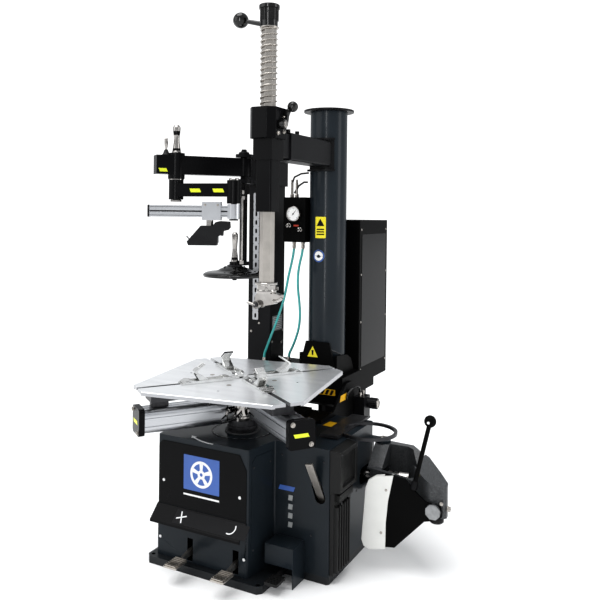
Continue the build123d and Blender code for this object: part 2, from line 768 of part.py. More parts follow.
TOP_BALL = (-25.0, 0.0, 1904.0)
TOP_BALL_R = 28.0
with BuildPart() as shaft_cap:
    # lever collar, grip and flange, from the spring upwards
    for z, height, radius in ((1866, 20, 30), (1886, 44, 31), (1930, 14, 36.5)):
        with BuildSketch(Plane.XY.offset(z)):
            with Locations((SHAFT_X, 0)):
                Circle(radius)
        extrude(amount=height)
    fillet(shaft_cap.edges().group_by(Axis.Z)[-1], radius=4)
    with BuildSketch(Plane.XY.offset(1866)):
        with Locations((SHAFT_X, 0)):
            RegularPolygon(SHAFT_FLAT / 2, 6, major_radius=False, rotation=30)
    extrude(amount=SHAFT_TOP - 1866, mode=Mode.SUBTRACT)
    with BuildSketch(rod_plane((SHAFT_X - 27, 0, 1880), TOP_BALL)):
        Circle(9)
    extrude(amount=80, taper=1.2)
    ball(TOP_BALL, TOP_BALL_R)
save(shaft_cap, "shaft_cap")

SPRING_FOOT = HEAD_TOP
SPRING_R = 29.0
with BuildPart() as shaft_spring:
    with BuildSketch(Plane.XY.offset(SPRING_FOOT)):
        with Locations((SHAFT_X, 0)):
            Circle(SPRING_R + 2.5)
            Circle(SPRING_R - 2.0, mode=Mode.SUBTRACT)
    extrude(amount=1866 - SPRING_FOOT)
save(shaft_spring, "shaft_spring")

with BuildPart() as mount_head:
    with BuildSketch(Plane.XY.offset(936)):
        with Locations((SHAFT_X, 0)):
            Circle(33)
    extrude(amount=SHAFT_FOOT - 936)
    with BuildSketch(Plane.XY.offset(SHAFT_FOOT - 9)):
        with Locations((SHAFT_X, 0)):
            Circle(37)
    extrude(amount=9)
    with BuildSketch(Plane.XZ.offset(-14)):
        outline([
            (SHAFT_X - 38, 900), (SHAFT_X - 20, 888), (SHAFT_X + 36, 900),
            (SHAFT_X + 62, 922), (SHAFT_X + 62, 932), (SHAFT_X + 26, 940),
            (SHAFT_X - 24, 940), (SHAFT_X - 38, 926),
        ])
    extrude(amount=28)
    with BuildSketch(Plane.XY.offset(SHAFT_FOOT - 24)):
        with Locations((SHAFT_X, 0)):
            RegularPolygon(SHAFT_FLAT / 2, 6, major_radius=False, rotation=30)
    extrude(amount=30, mode=Mode.SUBTRACT)
    with BuildSketch(Plane.XZ.offset(30)):
        with Locations((SHAFT_X - 26, 896)):
            Circle(13)
    extrude(amount=-46)
save(mount_head, "mount_head")

LOCK_AXIS = (1523.0, -6.0)    # Z and Y of the lock lever's hub
LOCK_BALL = (165.0, 46.0, 1590.0)
LOCK_BALL_R = 19.0
with BuildPart() as lock_lever:
    with BuildSketch(Plane.YZ.offset(144.5)):
        with Locations((LOCK_AXIS[1], LOCK_AXIS[0])):
            Circle(17)
    extrude(amount=20)
    with BuildSketch(Plane.YZ.offset(148)):
        outline([
            (-16, 1530), (4, 1515), (24, 1528), (31, 1556), (44, 1574), (36, 1584),
            (20, 1566), (12, 1540),
        ])
    extrude(amount=12)
    ball(LOCK_BALL, LOCK_BALL_R)
save(lock_lever, "lock_lever")

# ------------------------------------------------------------------ helper --

POST_W = POST_X[1] - POST_X[0]
POST_D = POST_Y[1] - POST_Y[0]
POST_MID = ((POST_X[0] + POST_X[1]) / 2, (POST_Y[0] + POST_Y[1]) / 2)
with BuildPart() as helper_post:
    with BuildSketch(Plane.XY.offset(POST_FOOT)):
        with Locations(POST_MID):
            RectangleRounded(POST_W, POST_D, 6)
            RectangleRounded(POST_W - 10, POST_D - 10, 3, mode=Mode.SUBTRACT)
    extrude(amount=POST_TOP - POST_FOOT)
    with BuildSketch(Plane.XZ.offset(-POST_Y[0])):
        outline([(-206, 770), (-178, 770), (-178, 1300), (-206, 1300)])
        with Locations(*[(-192, 790 + 35 * i) for i in range(15)]):
            SlotOverall(18, 8, rotation=90, mode=Mode.SUBTRACT)
    extrude(amount=4)
save(helper_post, "helper_post")

with BuildPart() as helper_carriage:
    with BuildSketch(Plane.XY.offset(1330)):
        with Locations(POST_MID):
            RectangleRounded(POST_W + 18, POST_D + 18, 8)
            RectangleRounded(POST_W + 0.8, POST_D + 0.8, 6.4, mode=Mode.SUBTRACT)
    extrude(amount=104)
    with BuildSketch(Plane.XY.offset(1330)):
        outline([(-208, 394), (-176, 394), (-176, 402), (-208, 402)])
    extrude(amount=104, mode=Mode.SUBTRACT)
    with BuildSketch(Plane.XY.offset(1438)):
        outline([(-206, 391), (-206, 300), (-146, 300), (-146, 391)])
    extrude(amount=12)
    with BuildSketch(Plane.XY.offset(1434)):
        outline([(-206, 391), (-206, 380), (-146, 380), (-146, 391)])
    extrude(amount=16)
    with BuildSketch(Plane.XY.offset(1334)):
        outline([(-206, 392), (-206, 380), (-146, 380), (-146, 392)])
    extrude(amount=100)
    with BuildSketch(Plane.XY.offset(1334)):
        outline([(-206, 391), (-206, 300), (-146, 300), (-146, 391)])
    extrude(amount=16)
    for z, height in ((1334, 16), (1438, 12)):
        with BuildSketch(Plane.XY.offset(z)):
            with Locations(PIVOT):
                Circle(34)
            outline([(-206, 310), (-206, 280), (-146, 280), (-146, 310)])
        extrude(amount=height)
    with BuildSketch(Plane.XY.offset(1334)):
        with Locations(PIVOT):
            Circle(14)
    extrude(amount=128)
save(helper_carriage, "helper_carriage")

UPPER_ANGLE = degrees(atan2(ELBOW[1] - PIVOT[1], ELBOW[0] - PIVOT[0]))
UPPER_REACH = 274.4
UPPER_END = 357.0
SLEEVE_R = 24.0
with BuildPart() as upper_arm:
    with BuildSketch(flat(UPPER_ANGLE, (PIVOT[0], PIVOT[1], UPPER_Z[0]))):
        with Locations((UPPER_END / 2, 0)):
            Rectangle(UPPER_END, 56)
        Circle(33)
    extrude(amount=UPPER_Z[1] - UPPER_Z[0])
    with BuildSketch(Plane.XY.offset(1344)):
        with Locations(ELBOW):
            Circle(SLEEVE_R + 8)
    extrude(amount=UPPER_Z[1] + 10 - 1344)
    with BuildSketch(Plane.XY.offset(1262)):
        with Locations(ELBOW):
            Circle(12)
    extrude(amount=100)
    with BuildSketch(Plane.XY.offset(1256)):
        with Locations(ELBOW):
            Circle(20)
    extrude(amount=8)
    with BuildSketch(Plane.XY.offset(1300)):
        with Locations(PIVOT):
            Circle(14 + RUN)
    extrude(amount=200, mode=Mode.SUBTRACT)
    with BuildSketch(Plane.XZ.offset(-ELBOW[1])):
        with BuildLine():
            Line((ELBOW[0], 1443), (ELBOW[0] + 17, 1443))
            Spline(
                (ELBOW[0] + 17, 1443), (ELBOW[0] + 14, 1466), (ELBOW[0] + 10, 1492),
                (ELBOW[0] + 14, 1530), (ELBOW[0] + 13, 1544),
            )
            Line((ELBOW[0] + 13, 1544), (ELBOW[0], 1551))
            Line((ELBOW[0], 1551), (ELBOW[0], 1443))
        make_face()
    revolve(axis=Axis((ELBOW[0], ELBOW[1], 0), (0, 0, 1)))
save(upper_arm, "upper_arm")

LOWER_ANGLE = degrees(atan2(WRIST[1] - ELBOW[1], WRIST[0] - ELBOW[0]))
LOWER_REACH = 238.0
with BuildPart() as lower_arm:
    with BuildSketch(flat(LOWER_ANGLE, (ELBOW[0], ELBOW[1], LOWER_Z[0]))):
        with Locations((LOWER_REACH / 2, 0)):
            Rectangle(LOWER_REACH, 46)
        with Locations((LOWER_REACH, 0)):
            Circle(27)
    extrude(amount=LOWER_Z[1] - LOWER_Z[0])
    with BuildSketch(Plane.XY.offset(1264.5)):
        with Locations(ELBOW):
            Circle(SLEEVE_R + 4)
    extrude(amount=1343.5 - 1264.5)
    with BuildSketch(Plane.XY.offset(1250)):
        with Locations(WRIST):
            Circle(27)
    extrude(amount=88)
    with BuildSketch(Plane.XY.offset(1186)):
        with Locations(WRIST):
            Circle(11)
    extrude(amount=74)
    with BuildSketch(Plane.XY.offset(1186)):
        with Locations(WRIST):
            Circle(17)
    extrude(amount=5.5)
    with BuildSketch(Plane.XY.offset(1200)):
        with Locations(ELBOW):
            Circle(12 + RUN)
    extrude(amount=200, mode=Mode.SUBTRACT)
save(lower_arm, "lower_arm")

BAR_T = 30.0
with BuildPart() as slide_bar:
    with BuildSketch(upright(BAR_ANGLE, (WRIST[0], WRIST[1], 0))):
        outline([(20, BAR_Z[0]), (BAR_LENGTH, BAR_Z[0]), (BAR_LENGTH, BAR_Z[1]), (20, BAR_Z[1])])
    extrude(amount=BAR_T / 2, both=True)
    with BuildSketch(upright(BAR_ANGLE, (WRIST[0], WRIST[1], 0))):
        outline([(20, 1217), (BAR_LENGTH, 1217), (BAR_LENGTH, 1223), (20, 1223)])
    extrude(amount=BAR_T / 2, both=True, mode=Mode.SUBTRACT)
    with BuildSketch(upright(BAR_ANGLE, (WRIST[0], WRIST[1], 0))):
        outline([(20, 1216), (BAR_LENGTH, 1216), (BAR_LENGTH, 1224), (20, 1224)])
    extrude(amount=BAR_T / 2 - 4, both=True)
    with BuildSketch(flat(BAR_ANGLE, (WRIST[0], WRIST[1], 1192))):
        Circle(24)
        with Locations((10, 0)):
            Rectangle(24, 40)
    extrude(amount=56)
    end = along(WRIST, BAR_ANGLE, BAR_LENGTH)
    with BuildSketch(facing(BAR_ANGLE, (end[0], end[1], 0))):
        with Locations((0, (BAR_Z[0] + BAR_Z[1]) / 2)):
            Rectangle(BAR_T + 2, BAR_Z[1] - BAR_Z[0] + 2)
    extrude(amount=5)
    with BuildSketch(Plane.XY.offset(1150)):
        with Locations(WRIST):
            Circle(11 + RUN)
    extrude(amount=140, mode=Mode.SUBTRACT)
save(slide_bar, "slide_bar")

SLIDER_W = 71.0
with BuildPart() as bar_slider:
    with BuildSketch(upright(BAR_ANGLE, (WRIST[0], WRIST[1], 0))):
        outline([
            (SLIDER_AT - SLIDER_W / 2, 1187), (SLIDER_AT + SLIDER_W / 2, 1187),
            (SLIDER_AT + SLIDER_W / 2, 1256), (SLIDER_AT - SLIDER_W / 2, 1256),
        ])
        outline([
            (SLIDER_AT - 50, BAR_Z[0] - GAP), (SLIDER_AT + 50, BAR_Z[0] - GAP),
            (SLIDER_AT + 50, BAR_Z[1] + GAP), (SLIDER_AT - 50, BAR_Z[1] + GAP),
        ])
    extrude(amount=BAR_T / 2 + 9, both=True)
    with BuildSketch(upright(BAR_ANGLE, (WRIST[0], WRIST[1], 0))):
        outline([
            (SLIDER_AT - 60, BAR_Z[0] - GAP), (SLIDER_AT + 60, BAR_Z[0] - GAP),
            (SLIDER_AT + 60, BAR_Z[1] + GAP), (SLIDER_AT - 60, BAR_Z[1] + GAP),
        ])
    extrude(amount=BAR_T / 2 + GAP, both=True, mode=Mode.SUBTRACT)
    for side in (-1, 1):
        with BuildSketch(upright(BAR_ANGLE, (WRIST[0], WRIST[1], 0))):
            outline([
                (SLIDER_AT + side * SLIDER_W / 2, 1180), (SLIDER_AT + side * 90, 1180),
                (SLIDER_AT + side * 90, 1260), (SLIDER_AT + side * SLIDER_W / 2, 1260),
            ])
        extrude(amount=40, both=True, mode=Mode.SUBTRACT)
save(bar_slider, "bar_slider")

with BuildPart() as press_block:
    stem = along(WRIST, BAR_ANGLE, SLIDER_AT + 8)
    with BuildSketch(Plane.XY.offset(1165)):
        with Locations(stem):
            Circle(10)
    extrude(amount=22)
    with BuildSketch(upright(BAR_ANGLE, (WRIST[0], WRIST[1], 0))):
        outline([
            (78, 1166), (122, 1166), (174, 1106), (168, 1092), (62, 1092), (58, 1104),
            (58, 1126), (48, 1130), (40, 1128), (38, 1146), (20, 1150), (12, 1160),
            (14, 1182), (50, 1184), (66, 1180),
        ])
    extrude(amount=20, both=True)
save(press_block, "press_block")

with BuildPart() as disc_arm:
    with BuildSketch(Plane.XY.offset(1290)):
        with Locations(PIVOT):
            RectangleRounded(38, 38, 6)
    extrude(amount=42)
    with BuildSketch(Plane.XY.offset(1016)):
        with Locations(PIVOT):
            RectangleRounded(26, 22, 4)
    extrude(amount=300)
    with BuildSketch(Plane.XY.offset(1006)):
        with Locations(PIVOT):
            Circle(24)
        with Locations(DISC):
            Circle(21)
    extrude(amount=14)
    with BuildSketch(Plane.XY.offset(1322)):
        with Locations(PIVOT):
            Circle(11)
    extrude(amount=11.5)
    with BuildSketch(Plane.XY.offset(946)):
        with Locations(DISC):
            Circle(9)
    extrude(amount=70)
    with BuildSketch(Plane.XZ.offset(-DISC[1])):
        with BuildLine():
            Line((DISC[0], 1020), (DISC[0] + 14, 1020))
            Spline(
                (DISC[0] + 14, 1020), (DISC[0] + 12, 1044), (DISC[0] + 9, 1072),
                (DISC[0] + 12, 1112), (DISC[0] + 11, 1130),
            )
            Line((DISC[0] + 11, 1130), (DISC[0], 1138))
            Line((DISC[0], 1138), (DISC[0], 1020))
        make_face()
    revolve(axis=Axis((DISC[0], DISC[1], 0), (0, 0, 1)))
save(disc_arm, "disc_arm")

with BuildPart() as press_disc:
    with BuildSketch(Plane.XZ.offset(-DISC[1])):
        with BuildLine():
            Polyline(
                (DISC[0], 1005), (DISC[0] + 26, 1005), (DISC[0] + 58, 992),
            )
            Spline(
                (DISC[0] + 58, 992), (DISC[0] + 92, 982), (DISC[0] + 118, 976),
                (DISC[0] + DISC_R, 970),
            )
            Polyline(
                (DISC[0] + DISC_R, 970), (DISC[0] + DISC_R - 2, 962),
                (DISC[0] + 108, 961), (DISC[0] + 60, 974), (DISC[0] + 26, 978),
                (DISC[0] + 22, 955), (DISC[0], 955), (DISC[0], 1005),
            )
        make_face()
    revolve(axis=Axis((DISC[0], DISC[1], 0), (0, 0, 1)))
    with BuildSketch(Plane.XY.offset(900)):
        with Locations(DISC):
            Circle(9 + RUN)
    extrude(amount=200, mode=Mode.SUBTRACT)
save(press_disc, "press_disc")


# ------------------------------------------------- air panel, tower, hoses --

PANEL_X = (-75.0, 19.0)
PANEL_Z = (1098.0, 1282.0)
GAUGE = (-20.0, 1214.0)
with BuildPart() as air_panel:
    with BuildSketch(Plane.XZ.offset(-420)):
        outline([
            (PANEL_X[0], PANEL_Z[0]), (26, PANEL_Z[0]), (26, PANEL_Z[1]),
            (PANEL_X[0], PANEL_Z[1]),
        ])
    extrude(amount=-80)
    with BuildSketch(Plane.XY.offset(1000)):
        with Locations(COLUMN):
            Circle(COLUMN_R)
    extrude(amount=400, mode=Mode.SUBTRACT)
    with BuildSketch(Plane.XZ.offset(-420)):
        with Locations(GAUGE):
            Circle(31)
    extrude(amount=18)
save(air_panel, "air_panel")


TOWER_X = (10.0, 190.0)
TOWER_Y = 604.0
with BuildPart() as tower_box:
    with BuildSketch(Plane.YZ.offset(TOWER_X[0])):
        outline([
            (TOWER_Y, 316), (690, 316), (690, 466), (778, 466), (778, 500), (925, 500),
            (925, 1190), (TOWER_Y, 1190),
        ])
    extrude(amount=TOWER_X[1] - TOWER_X[0])
    fillet(tower_box.edges().filter_by(Axis.Z), radius=4)
    with BuildSketch(Plane.YZ.offset(TOWER_X[0] + SHEET)):
        outline([
            (TOWER_Y + 3, 310), (687, 310), (687, 469), (775, 469), (775, 503), (922, 503),
            (922, 1187), (TOWER_Y + 3, 1187),
        ])
    extrude(amount=TOWER_X[1] - TOWER_X[0] - 2 * SHEET, mode=Mode.SUBTRACT)
    for z in (700, 1040):
        with BuildSketch(Plane.XZ.offset(-560)):
            with Locations((COLUMN[0], z)):
                Rectangle(80, 60)
        extrude(amount=560 - TOWER_Y)
    with BuildSketch(Plane.XY.offset(500)):
        with Locations(COLUMN):
            Circle(COLUMN_R)
    extrude(amount=700, mode=Mode.SUBTRACT)
save(tower_box, "tower_box")

HOSE_R = 5.0
HOSES = {
    "hose_left": [
        (-33, 437, 1098), (-33, 437, 1062), (-42, 434, 1012), (-54, 430, 958),
        (-62, 426, 904), (-72, 420, 850), (-86, 411, 798), (-101, 402, 748),
        (-117, 392, 700), (-131, 387, 658), (-142, 386, 630), (-142, 386, 600),
    ],
    "hose_right": [
        (8, 437, 1098), (8, 437, 1062), (-6, 436, 1012), (-13, 434, 960),
        (-11, 432, 906), (-3, 431, 854), (1, 432, 802), (-5, 436, 750),
        (-22, 442, 702), (-44, 448, 656), (-60, 450, 630), (-60, 450, 600),
    ],
}


def corner_radii(points):
    """Largest tangent arcs that the runs beside each corner allow."""
    radii = []
    for before, here, after in zip(points, points[1:], points[2:]):
        a = Vector(*here) - Vector(*before)
        b = Vector(*after) - Vector(*here)
        half = radians(a.get_angle(b)) / 2
        radii.append(0.45 * min(a.length, b.length) * cos(half) / sin(half))
    return radii


for name, points in HOSES.items():
    radii = corner_radii(points)
    print(name, [round(r) for r in radii])
    with BuildPart() as hose:
        with BuildLine() as route:
            FilletPolyline(*points, radius=radii)
        with BuildSketch(Plane(origin=points[0], z_dir=route.line % 0)):
            Circle(HOSE_R)
        sweep()
    save(hose, name)
    length = sum(edge.length for edge in route.edges())
    print(name, round(length), round(hose.part.volume / (3.14159 * HOSE_R ** 2)))

# ------------------------------------------------------- air unit and ring --

INLET_R = 5.9
AIR_X = 238.0         # middle of the filter and regulator block
AIR_Z = 386.0
with BuildPart() as air_unit:
    with BuildSketch(Plane.XY.offset(AIR_Z - 6)):
        outline([
            (AIR_X - 18, REAR_Y), (AIR_X + 20, REAR_Y), (AIR_X + 20, 575), (AIR_X - 18, 575),
        ])
    extrude(amount=6)
    with BuildSketch(Plane.XY.offset(AIR_Z)):
        outline([
            (AIR_X - 22, 500), (AIR_X + 22, 500), (AIR_X + 22, 562), (AIR_X - 22, 562),
        ])
    extrude(amount=92)
    with BuildSketch(Plane.YZ.offset(AIR_X + 22)):
        with Locations((540, AIR_Z + 64)):
            Circle(21)
    extrude(amount=42)
    for y in (515, 548):
        with BuildSketch(Plane.XY.offset(AIR_Z - 66)):
            with Locations((AIR_X, y)):
                Circle(15)
        extrude(amount=66)
    with BuildSketch(Plane.XZ.offset(-562)):
        with Locations((AIR_X, AIR_Z + 34)):
            Circle(INLET_R)
    extrude(amount=12, mode=Mode.SUBTRACT)
save(air_unit, "air_unit")

RING = (410.0, 183.0)
RING_R = (89.0, 100.0)
with BuildPart() as grease_ring:
    with BuildSketch(Plane.XY.offset(CABINET_TOP + 3)):
        with Locations(RING):
            Circle(RING_R[1])
            Circle(RING_R[0], mode=Mode.SUBTRACT)
        outline([(240, 60), (345, 60), (345, 340), (240, 340)])
        with Locations(RING):
            Circle(RING_R[0], mode=Mode.SUBTRACT)
    extrude(amount=10)
    with BuildSketch(Plane.XY.offset(CABINET_TOP)):
        outline([(290, 100), (340, 100), (340, 320), (290, 320)])
    extrude(amount=4)
    with BuildSketch(Plane.XY.offset(CABINET_TOP)):
        outline([(200, 50), (278, 50), (278, 350), (200, 350)])
    extrude(amount=20, mode=Mode.SUBTRACT)
save(grease_ring, "grease_ring")

# ------------------------------------------------------------ bead breaker --

with BuildPart() as breaker_hinge:
    for z in (205, 366):
        with BuildSketch(Plane.XY.offset(z)):
            with Locations(BREAKER_PIN):
                Circle(28)
            outline([(340, REAR_Y), (366, REAR_Y), (400, 324), (428, 352), (400, 380), (340, 380)])
        extrude(amount=9)
    with BuildSketch(Plane.XY.offset(205)):
        outline([(340, REAR_Y), (352, REAR_Y), (352, 380), (340, 380)])
    extrude(amount=170)
    with BuildSketch(Plane.XY.offset(198)):
        with Locations(BREAKER_PIN):
            Circle(14)
    extrude(amount=186)
save(breaker_hinge, "breaker_hinge")

PIN_ANGLE = -86.0          # the blade pin points out of the front of the arm
pin_back = along(BLADE_PIN, PIN_ANGLE, -20)
ARM_PLAN = [
    (375, 330), (376, 250), (558, 210), (625, 152), (645, 143), (690, 143), (700, 154),
    (698, 175), (662, 215), (548, 330), (512, 372), (400, 380), (376, 360),
]
CHANNEL = [(432, 344), (430, 252), (548, 226), (566, 240), (570, 262), (526, 326), (500, 346)]
with BuildPart() as breaker_arm:
    with BuildSketch(Plane.XY.offset(215)):
        outline(ARM_PLAN)
    extrude(amount=150)
    with BuildSketch(Plane.XY.offset(228)):
        outline(CHANNEL)
    extrude(amount=160, mode=Mode.SUBTRACT)
    with BuildSketch(upright(-57, (540, 310, 0))):
        outline([(-60, 366), (60, 366), (330, 285), (330, 420), (-60, 420)])
    extrude(amount=260, both=True, mode=Mode.SUBTRACT)
    with BuildSketch(Plane.YZ.offset(300)):
        outline([(200, 296), (262, 300), (330, 366), (200, 366)])
    extrude(amount=280, mode=Mode.SUBTRACT)
    with BuildSketch(Plane.XY.offset(200)):
        with Locations(BREAKER_PIN):
            Circle(14 + RUN)
    extrude(amount=300, mode=Mode.SUBTRACT)
    with BuildSketch(Plane.YZ.offset(368)):
        with Locations((287, BREAKER_Z)):
            Rectangle(80, 46)
    extrude(amount=76, mode=Mode.SUBTRACT)
    with BuildSketch(Plane.XY.offset(214)):
        outline([(300, 200), (376, 200), (376, 392), (300, 392)])
    extrude(amount=170, mode=Mode.SUBTRACT)
    with BuildSketch(facing(PIN_ANGLE, (pin_back[0], pin_back[1], 0))):
        with Locations((0, BLADE_Z)):
            Circle(15)
    extrude(amount=44)
    tip = along(BLADE_PIN, PIN_ANGLE, 22)
    with BuildSketch(facing(PIN_ANGLE, (tip[0], tip[1], 0))):
        with Locations((0, BLADE_Z)):
            RegularPolygon(26, 8)
    extrude(amount=10)
save(breaker_arm, "breaker_arm")

ROD_ANGLE = degrees(atan2(ROD_EYE[1] - TRUNNION[1], ROD_EYE[0] - TRUNNION[0]))
ROD_REACH = 349.8
RAM_BORE = 40.0
with BuildPart() as breaker_cylinder:
    tube_start = along(TRUNNION, ROD_ANGLE, -20)
    with BuildSketch(facing(ROD_ANGLE, (tube_start[0], tube_start[1], 0))):
        with Locations((0, BREAKER_Z)):
            Circle(44)
    extrude(amount=190)
    bore_start = along(TRUNNION, ROD_ANGLE, -8)
    with BuildSketch(facing(ROD_ANGLE, (bore_start[0], bore_start[1], 0))):
        with Locations((0, BREAKER_Z)):
            Circle(RAM_BORE)
    extrude(amount=164, mode=Mode.SUBTRACT)
    with BuildSketch(facing(ROD_ANGLE, (TRUNNION[0], TRUNNION[1], 0))):
        with Locations((0, BREAKER_Z)):
            Circle(13 + RUN)
    extrude(amount=200, mode=Mode.SUBTRACT)
    for z, height in ((BREAKER_Z - TRUNNION_HALF, 16), (BREAKER_Z + 40, TRUNNION_HALF - 40)):
        with BuildSketch(Plane.XY.offset(z)):
            with Locations(TRUNNION):
                Circle(TRUNNION_R)
        extrude(amount=height)
save(breaker_cylinder, "breaker_cylinder")

with BuildPart() as breaker_rod:
    piston_start = along(TRUNNION, ROD_ANGLE, 90)
    with BuildSketch(facing(ROD_ANGLE, (piston_start[0], piston_start[1], 0))):
        with Locations((0, BREAKER_Z)):
            Circle(RAM_BORE - RUN)
    extrude(amount=20)
    with BuildSketch(facing(ROD_ANGLE, (piston_start[0], piston_start[1], 0))):
        with Locations((0, BREAKER_Z)):
            Circle(13)
    extrude(amount=ROD_REACH - 90)
    for begin, length, radius in ((ROD_REACH - 34, 28, 20), (ROD_REACH - 6, 34, 26)):
        sleeve = along(TRUNNION, ROD_ANGLE, begin)
        with BuildSketch(facing(ROD_ANGLE, (sleeve[0], sleeve[1], 0))):
            with Locations((0, BREAKER_Z)):
                Circle(radius)
        extrude(amount=length)
save(breaker_rod, "breaker_rod")


BLADE_ANGLE = PIN_ANGLE - 90       # the blade reaches from its pin to the left
BLADE_FACE = 21.5          # how far along the pin the blade's front face is
PAD_FACE = 24.5
BLADE = [
    (-24, 258), (-28, 224), (6, 206), (30, 200), (131, 94), (166, 90), (166, 337), (136, 337),
    (96, 331), (69, 300), (28, 266),
]
PAD = [
    (162, 83), (219, 72), (240, 80), (248, 102), (242, 182), (235, 280),
    (224, 308), (199, 325), (136, 337), (154, 247), (161, 174), (162, 100),
]
HANDLE = [(591, 131, 296), (648, 130, 534)]
with BuildPart() as blade:
    blade_face = along(BLADE_PIN, PIN_ANGLE, BLADE_FACE)
    with BuildSketch(upright(BLADE_ANGLE, (blade_face[0], blade_face[1], 0))):
        outline(BLADE)
    extrude(amount=8)
    lever_line = Vector(*HANDLE[1]) - Vector(*HANDLE[0])
    with BuildSketch(Plane(origin=HANDLE[0], z_dir=lever_line)):
        Circle(7.5)
    extrude(amount=lever_line.length)
    with Locations(HANDLE[1]):
        Sphere(20)
    with BuildSketch(upright(BLADE_ANGLE, (BLADE_PIN[0], BLADE_PIN[1], 0))):
        with Locations((0, BLADE_Z)):
            Circle(15 + RUN)
    extrude(amount=100, both=True, mode=Mode.SUBTRACT)
save(blade, "blade")

with BuildPart() as blade_pad:
    pad_face = along(BLADE_PIN, PIN_ANGLE, PAD_FACE)
    with BuildSketch(upright(BLADE_ANGLE, (pad_face[0], pad_face[1], 0))):
        outline(PAD)
    extrude(amount=18)
    with BuildSketch(upright(BLADE_ANGLE, (blade_face[0], blade_face[1], 0))):
        outline(BLADE)
    extrude(amount=8, mode=Mode.SUBTRACT)
save(blade_pad, "blade_pad")
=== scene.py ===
from math import atan2, cos, degrees, pi, radians, sin

import bmesh
import bpy
from mathutils import Matrix, Vector


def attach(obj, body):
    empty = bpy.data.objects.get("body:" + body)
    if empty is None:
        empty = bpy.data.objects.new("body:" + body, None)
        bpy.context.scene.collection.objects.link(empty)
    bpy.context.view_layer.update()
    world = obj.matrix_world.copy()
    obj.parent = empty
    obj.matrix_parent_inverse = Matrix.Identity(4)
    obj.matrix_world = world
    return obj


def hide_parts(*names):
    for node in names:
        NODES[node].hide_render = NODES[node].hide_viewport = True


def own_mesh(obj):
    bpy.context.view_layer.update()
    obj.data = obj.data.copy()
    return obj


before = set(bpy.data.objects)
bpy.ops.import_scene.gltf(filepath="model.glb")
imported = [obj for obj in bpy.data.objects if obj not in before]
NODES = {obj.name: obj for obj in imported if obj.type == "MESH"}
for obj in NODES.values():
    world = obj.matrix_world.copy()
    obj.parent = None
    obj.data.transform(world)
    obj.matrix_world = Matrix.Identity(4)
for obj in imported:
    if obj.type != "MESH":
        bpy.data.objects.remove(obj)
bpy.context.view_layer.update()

# Looks of the tyre changer.  Lengths are in millimetres in the CAD frame, and mm()
# turns them into metres.  Camera, floor and lights are in metres.
MM = 0.001
UP = (0, 0, 1)
FRONT = (0, -1, 0)
RIGHT = (1, 0, 0)
BACK = (0, 1, 0)
TILT = "tilt_column"          # the body that tilts back with the column


def mm(*values):
    return Vector(values) * MM


# ---- materials ----

SHADER = "Principled BSDF"
RELIEF_DEPTH = 0.0004         # metres of relief at a bump strength of 1


def finish(
    name, colour, rough=0.4, metal=0.0, vary=0.12, scale=30.0, bump=0.08, grain=400.0,
    stretch=(1, 1, 1), rough_vary=0.05, coat=0.0, specks=None, gloss=0.5,
):
    """Paint, plastic or metal: cloudy colour and roughness, and a fine surface grain."""
    made = bpy.data.materials.new(name)
    made.use_nodes = True
    tree = made.node_tree
    shader = tree.nodes[SHADER]
    link = tree.links.new
    place = tree.nodes.new("ShaderNodeTexCoord")
    mapping = tree.nodes.new("ShaderNodeMapping")
    mapping.inputs["Scale"].default_value = stretch
    link(place.outputs["Object"], mapping.inputs["Vector"])
    cloud = tree.nodes.new("ShaderNodeTexNoise")
    cloud.inputs["Scale"].default_value = scale
    cloud.inputs["Detail"].default_value = 5
    link(mapping.outputs["Vector"], cloud.inputs["Vector"])
    tint = tree.nodes.new("ShaderNodeValToRGB")
    tint.color_ramp.elements[0].position = 0.3
    tint.color_ramp.elements[1].position = 0.7
    low = [c * (1 - vary) for c in colour]
    high = [min(1.0, c * (1 + vary)) for c in colour]
    tint.color_ramp.elements[0].color = (*low, 1)
    tint.color_ramp.elements[1].color = (*high, 1)
    link(cloud.outputs["Fac"], tint.inputs["Fac"])
    base = tint.outputs["Color"]
    fine = tree.nodes.new("ShaderNodeTexNoise")
    fine.inputs["Scale"].default_value = grain
    fine.inputs["Detail"].default_value = 3
    link(mapping.outputs["Vector"], fine.inputs["Vector"])
    if specks:
        dots = tree.nodes.new("ShaderNodeValToRGB")
        dots.color_ramp.elements[0].position = 0.46
        dots.color_ramp.elements[1].position = 0.62
        link(fine.outputs["Fac"], dots.inputs["Fac"])
        mix = tree.nodes.new("ShaderNodeMix")
        mix.data_type = "RGBA"
        mix.inputs["B"].default_value = (*specks, 1)
        link(dots.outputs["Color"], mix.inputs["Factor"])
        link(base, mix.inputs["A"])
        base = mix.outputs["Result"]
    link(base, shader.inputs["Base Color"])
    spread = tree.nodes.new("ShaderNodeMapRange")
    spread.inputs["To Min"].default_value = max(0.02, rough - rough_vary)
    spread.inputs["To Max"].default_value = min(1.0, rough + rough_vary)
    link(cloud.outputs["Fac"], spread.inputs["Value"])
    link(spread.outputs["Result"], shader.inputs["Roughness"])
    relief = tree.nodes.new("ShaderNodeBump")
    relief.inputs["Strength"].default_value = bump
    relief.inputs["Distance"].default_value = RELIEF_DEPTH
    link(fine.outputs["Fac"], relief.inputs["Height"])
    link(relief.outputs["Normal"], shader.inputs["Normal"])
    shader.inputs["Metallic"].default_value = metal
    shader.inputs["Specular IOR Level"].default_value = gloss
    shader.inputs["Coat Weight"].default_value = coat
    shader.inputs["Coat Roughness"].default_value = 0.08
    return made


